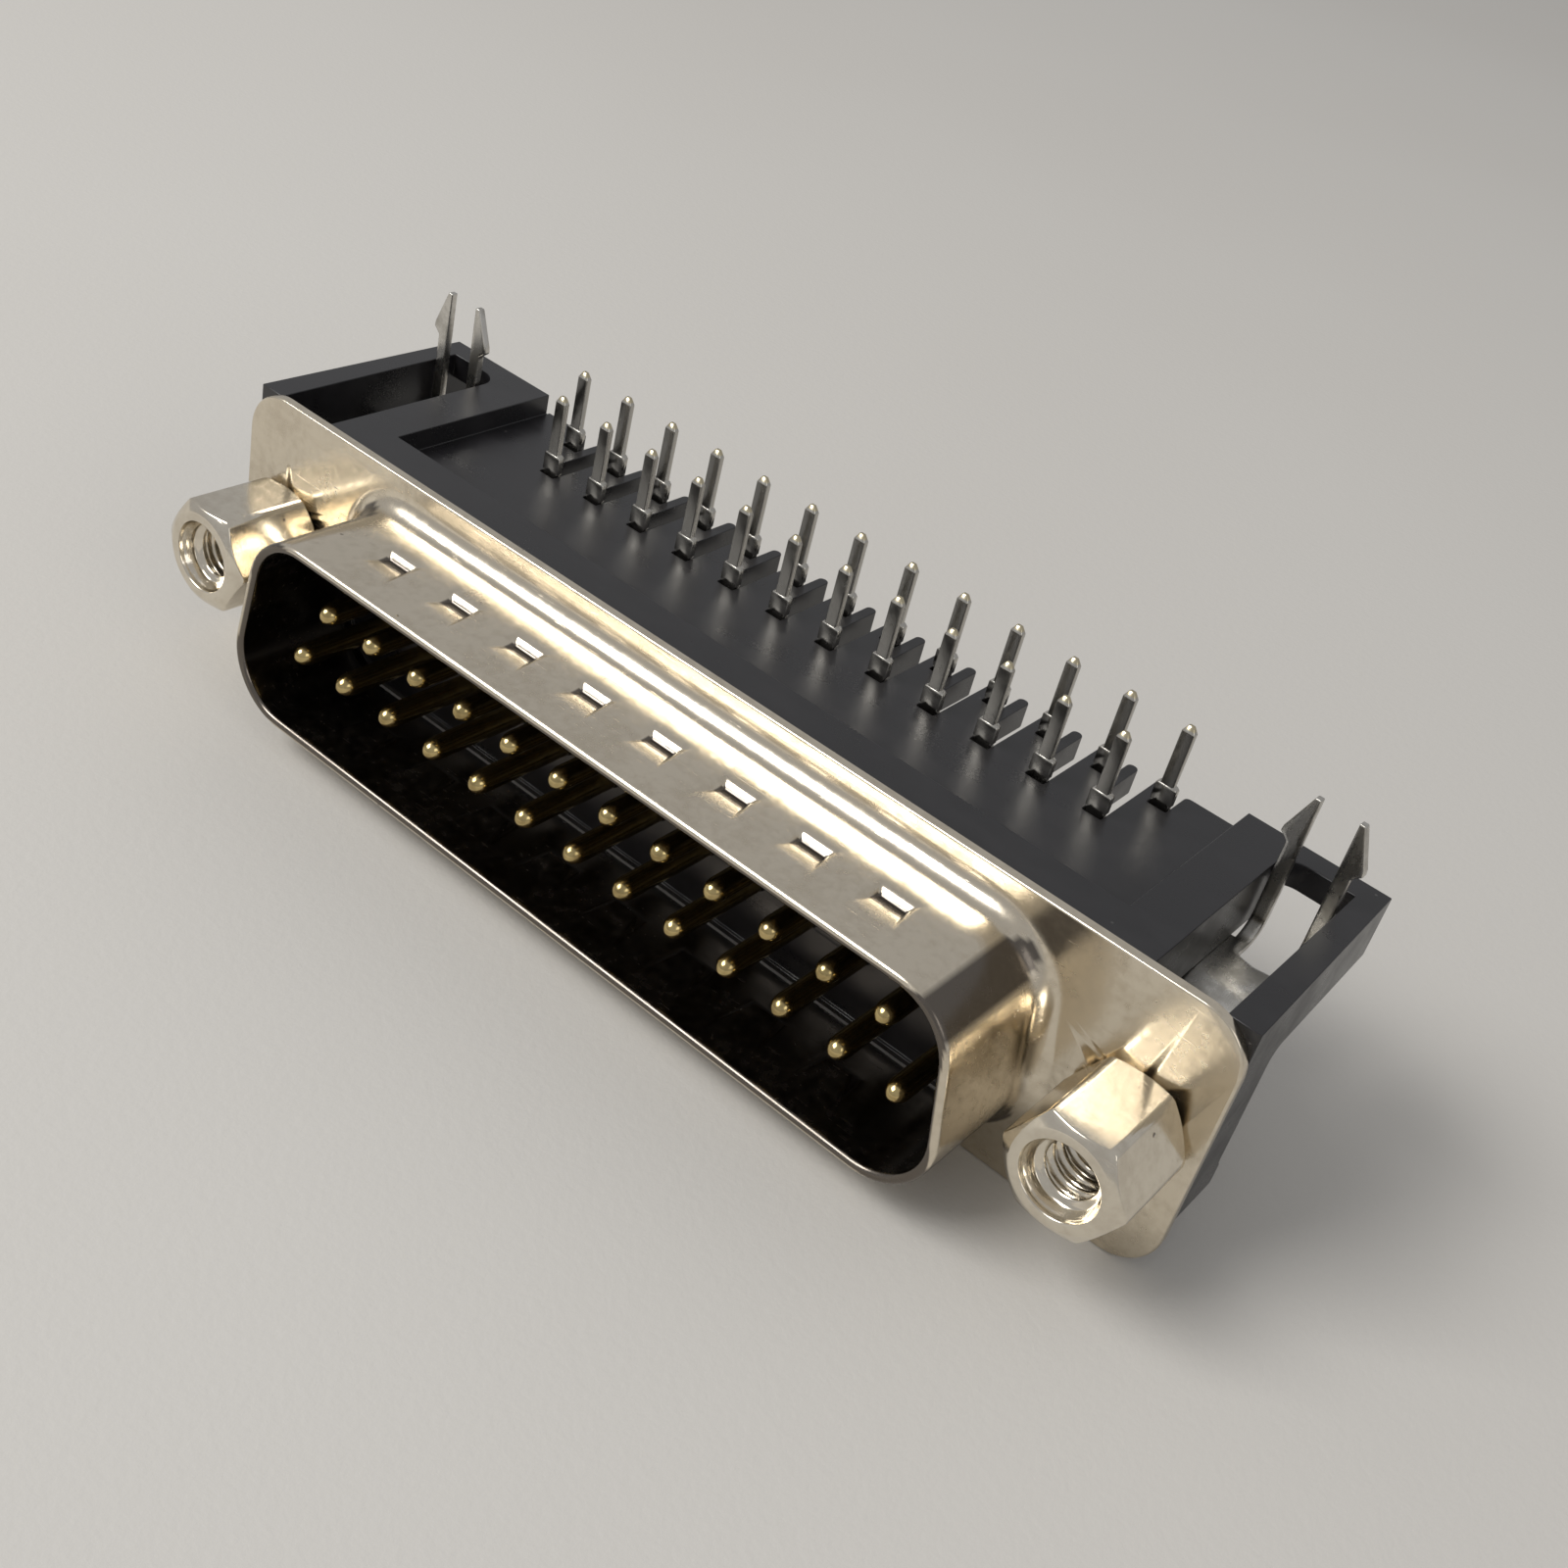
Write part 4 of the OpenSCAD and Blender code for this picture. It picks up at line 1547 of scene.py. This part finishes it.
@dataclass
class Studio:
    """Pale floor, soft lights and the camera."""

    floor_z: float
    floor_size: float = 3.0
    aim: Point = (3.954 * MM, 3.365 * MM, 1.219 * MM)
    azimuth: float = 31.02
    elevation: float = 34.76
    distance: float = 78.55 * MM
    roll: float = 14.92
    lens: float = 43.82
    world: float = 0.44

    def floor(self) -> None:
        """Lays the floor under the part."""
        sketch = RingMesh()
        half = self.floor_size / 2
        corners = [(-half, -half), (half, -half), (half, half), (-half, half)]
        sketch.cap(sketch.ring((x, y, self.floor_z) for x, y in corners))
        floor = sketch.piece("studio_floor")
        if floor.data.polygons[0].normal.z < 0:
            floor.data.flip_normals()
        floor.data.materials.append(FloorFinish().material())

    def softbox(self, name: str, azimuth: float, elevation: float, distance: float, size: Flat,
                power: float, tint: Point = (1.0, 1.0, 1.0)) -> None:
        """Adds a softbox that faces the part.

        Args:
            name: Its name.
            azimuth: Direction round the part, from the mating side towards +X, in degrees.
            elevation: Height above the floor, in degrees.
            distance: Distance from the part.
            size: Width and height.
            power: Power in watts.
            tint: Colour of the light.
        """
        a, e = math.radians(azimuth), math.radians(elevation)
        out = Vector((math.sin(a) * math.cos(e), -math.cos(a) * math.cos(e), math.sin(e)))
        data = bpy.data.lights.new(name, "AREA")
        data.shape = "RECTANGLE"
        data.size, data.size_y = size
        data.energy = power
        data.color = tint
        lamp = bpy.data.objects.new(name, data)
        lamp.location = out * distance
        lamp.rotation_euler = out.to_track_quat("Z", "Y").to_euler()
        bpy.context.scene.collection.objects.link(lamp)

    def lights(self) -> None:
        """Adds the softboxes and an even world."""
        self.softbox("key_box", -39, 46, 0.5, (0.30, 0.20), 1.9, (1.0, 0.99, 0.97))
        self.softbox("side_box", 75, 30, 0.7, (0.3, 0.3), 0.35, (1.0, 0.985, 0.96))
        world = bpy.data.worlds.new("studio")
        world.use_nodes = True
        world.node_tree.nodes.clear()
        bench = Bench(world.node_tree)
        light = bench.wire("ShaderNodeBackground",
                           inputs={"Color": (0.98, 0.985, 1.0, 1.0), "Strength": self.world})
        bench.node("ShaderNodeOutputWorld", inputs={"Surface": light})
        bpy.context.scene.world = world

    def camera(self) -> None:
        """Puts the camera at its angle."""
        a, e = math.radians(self.azimuth), math.radians(self.elevation)
        out = Vector((math.sin(a) * math.cos(e), -math.cos(a) * math.cos(e), math.sin(e)))
        data = bpy.data.cameras.new("camera")
        data.lens = self.lens
        data.sensor_width = 36.0
        data.clip_start = 0.005
        data.clip_end = 20.0
        camera = bpy.data.objects.new("camera", data)
        level = out.to_track_quat("Z", "Y").to_matrix().to_4x4()
        turn = Matrix.Rotation(math.radians(self.roll), 4, "Z")
        camera.matrix_world = Matrix.Translation(Vector(self.aim) + out * self.distance) @ level @ turn
        bpy.context.scene.collection.objects.link(camera)
        bpy.context.scene.camera = camera

    def build(self) -> None:
        """Sets the stage."""
        self.floor()
        self.lights()
        self.camera()
        bpy.context.scene.view_settings.view_transform = "Standard"


def main() -> None:
    """Builds the plug's pieces in order and reports each."""
    logging.basicConfig(level=logging.INFO, format="%(name)s: %(message)s")
    places = Places.from_frame()
    Studio(floor_z=CAD_BOX[0][2]).build()
    pieces = [SteelShell(places).build(), MouldedHousing().build()]
    pieces += ContactRows(places, RowOfContacts()).build()
    pieces += ScrewSockets(places, ThreadCutter()).build()
    pieces += BoardLocks(places).build()
    LOG.info("%d pieces", len(pieces))


if __name__ == "__main__":
    main()
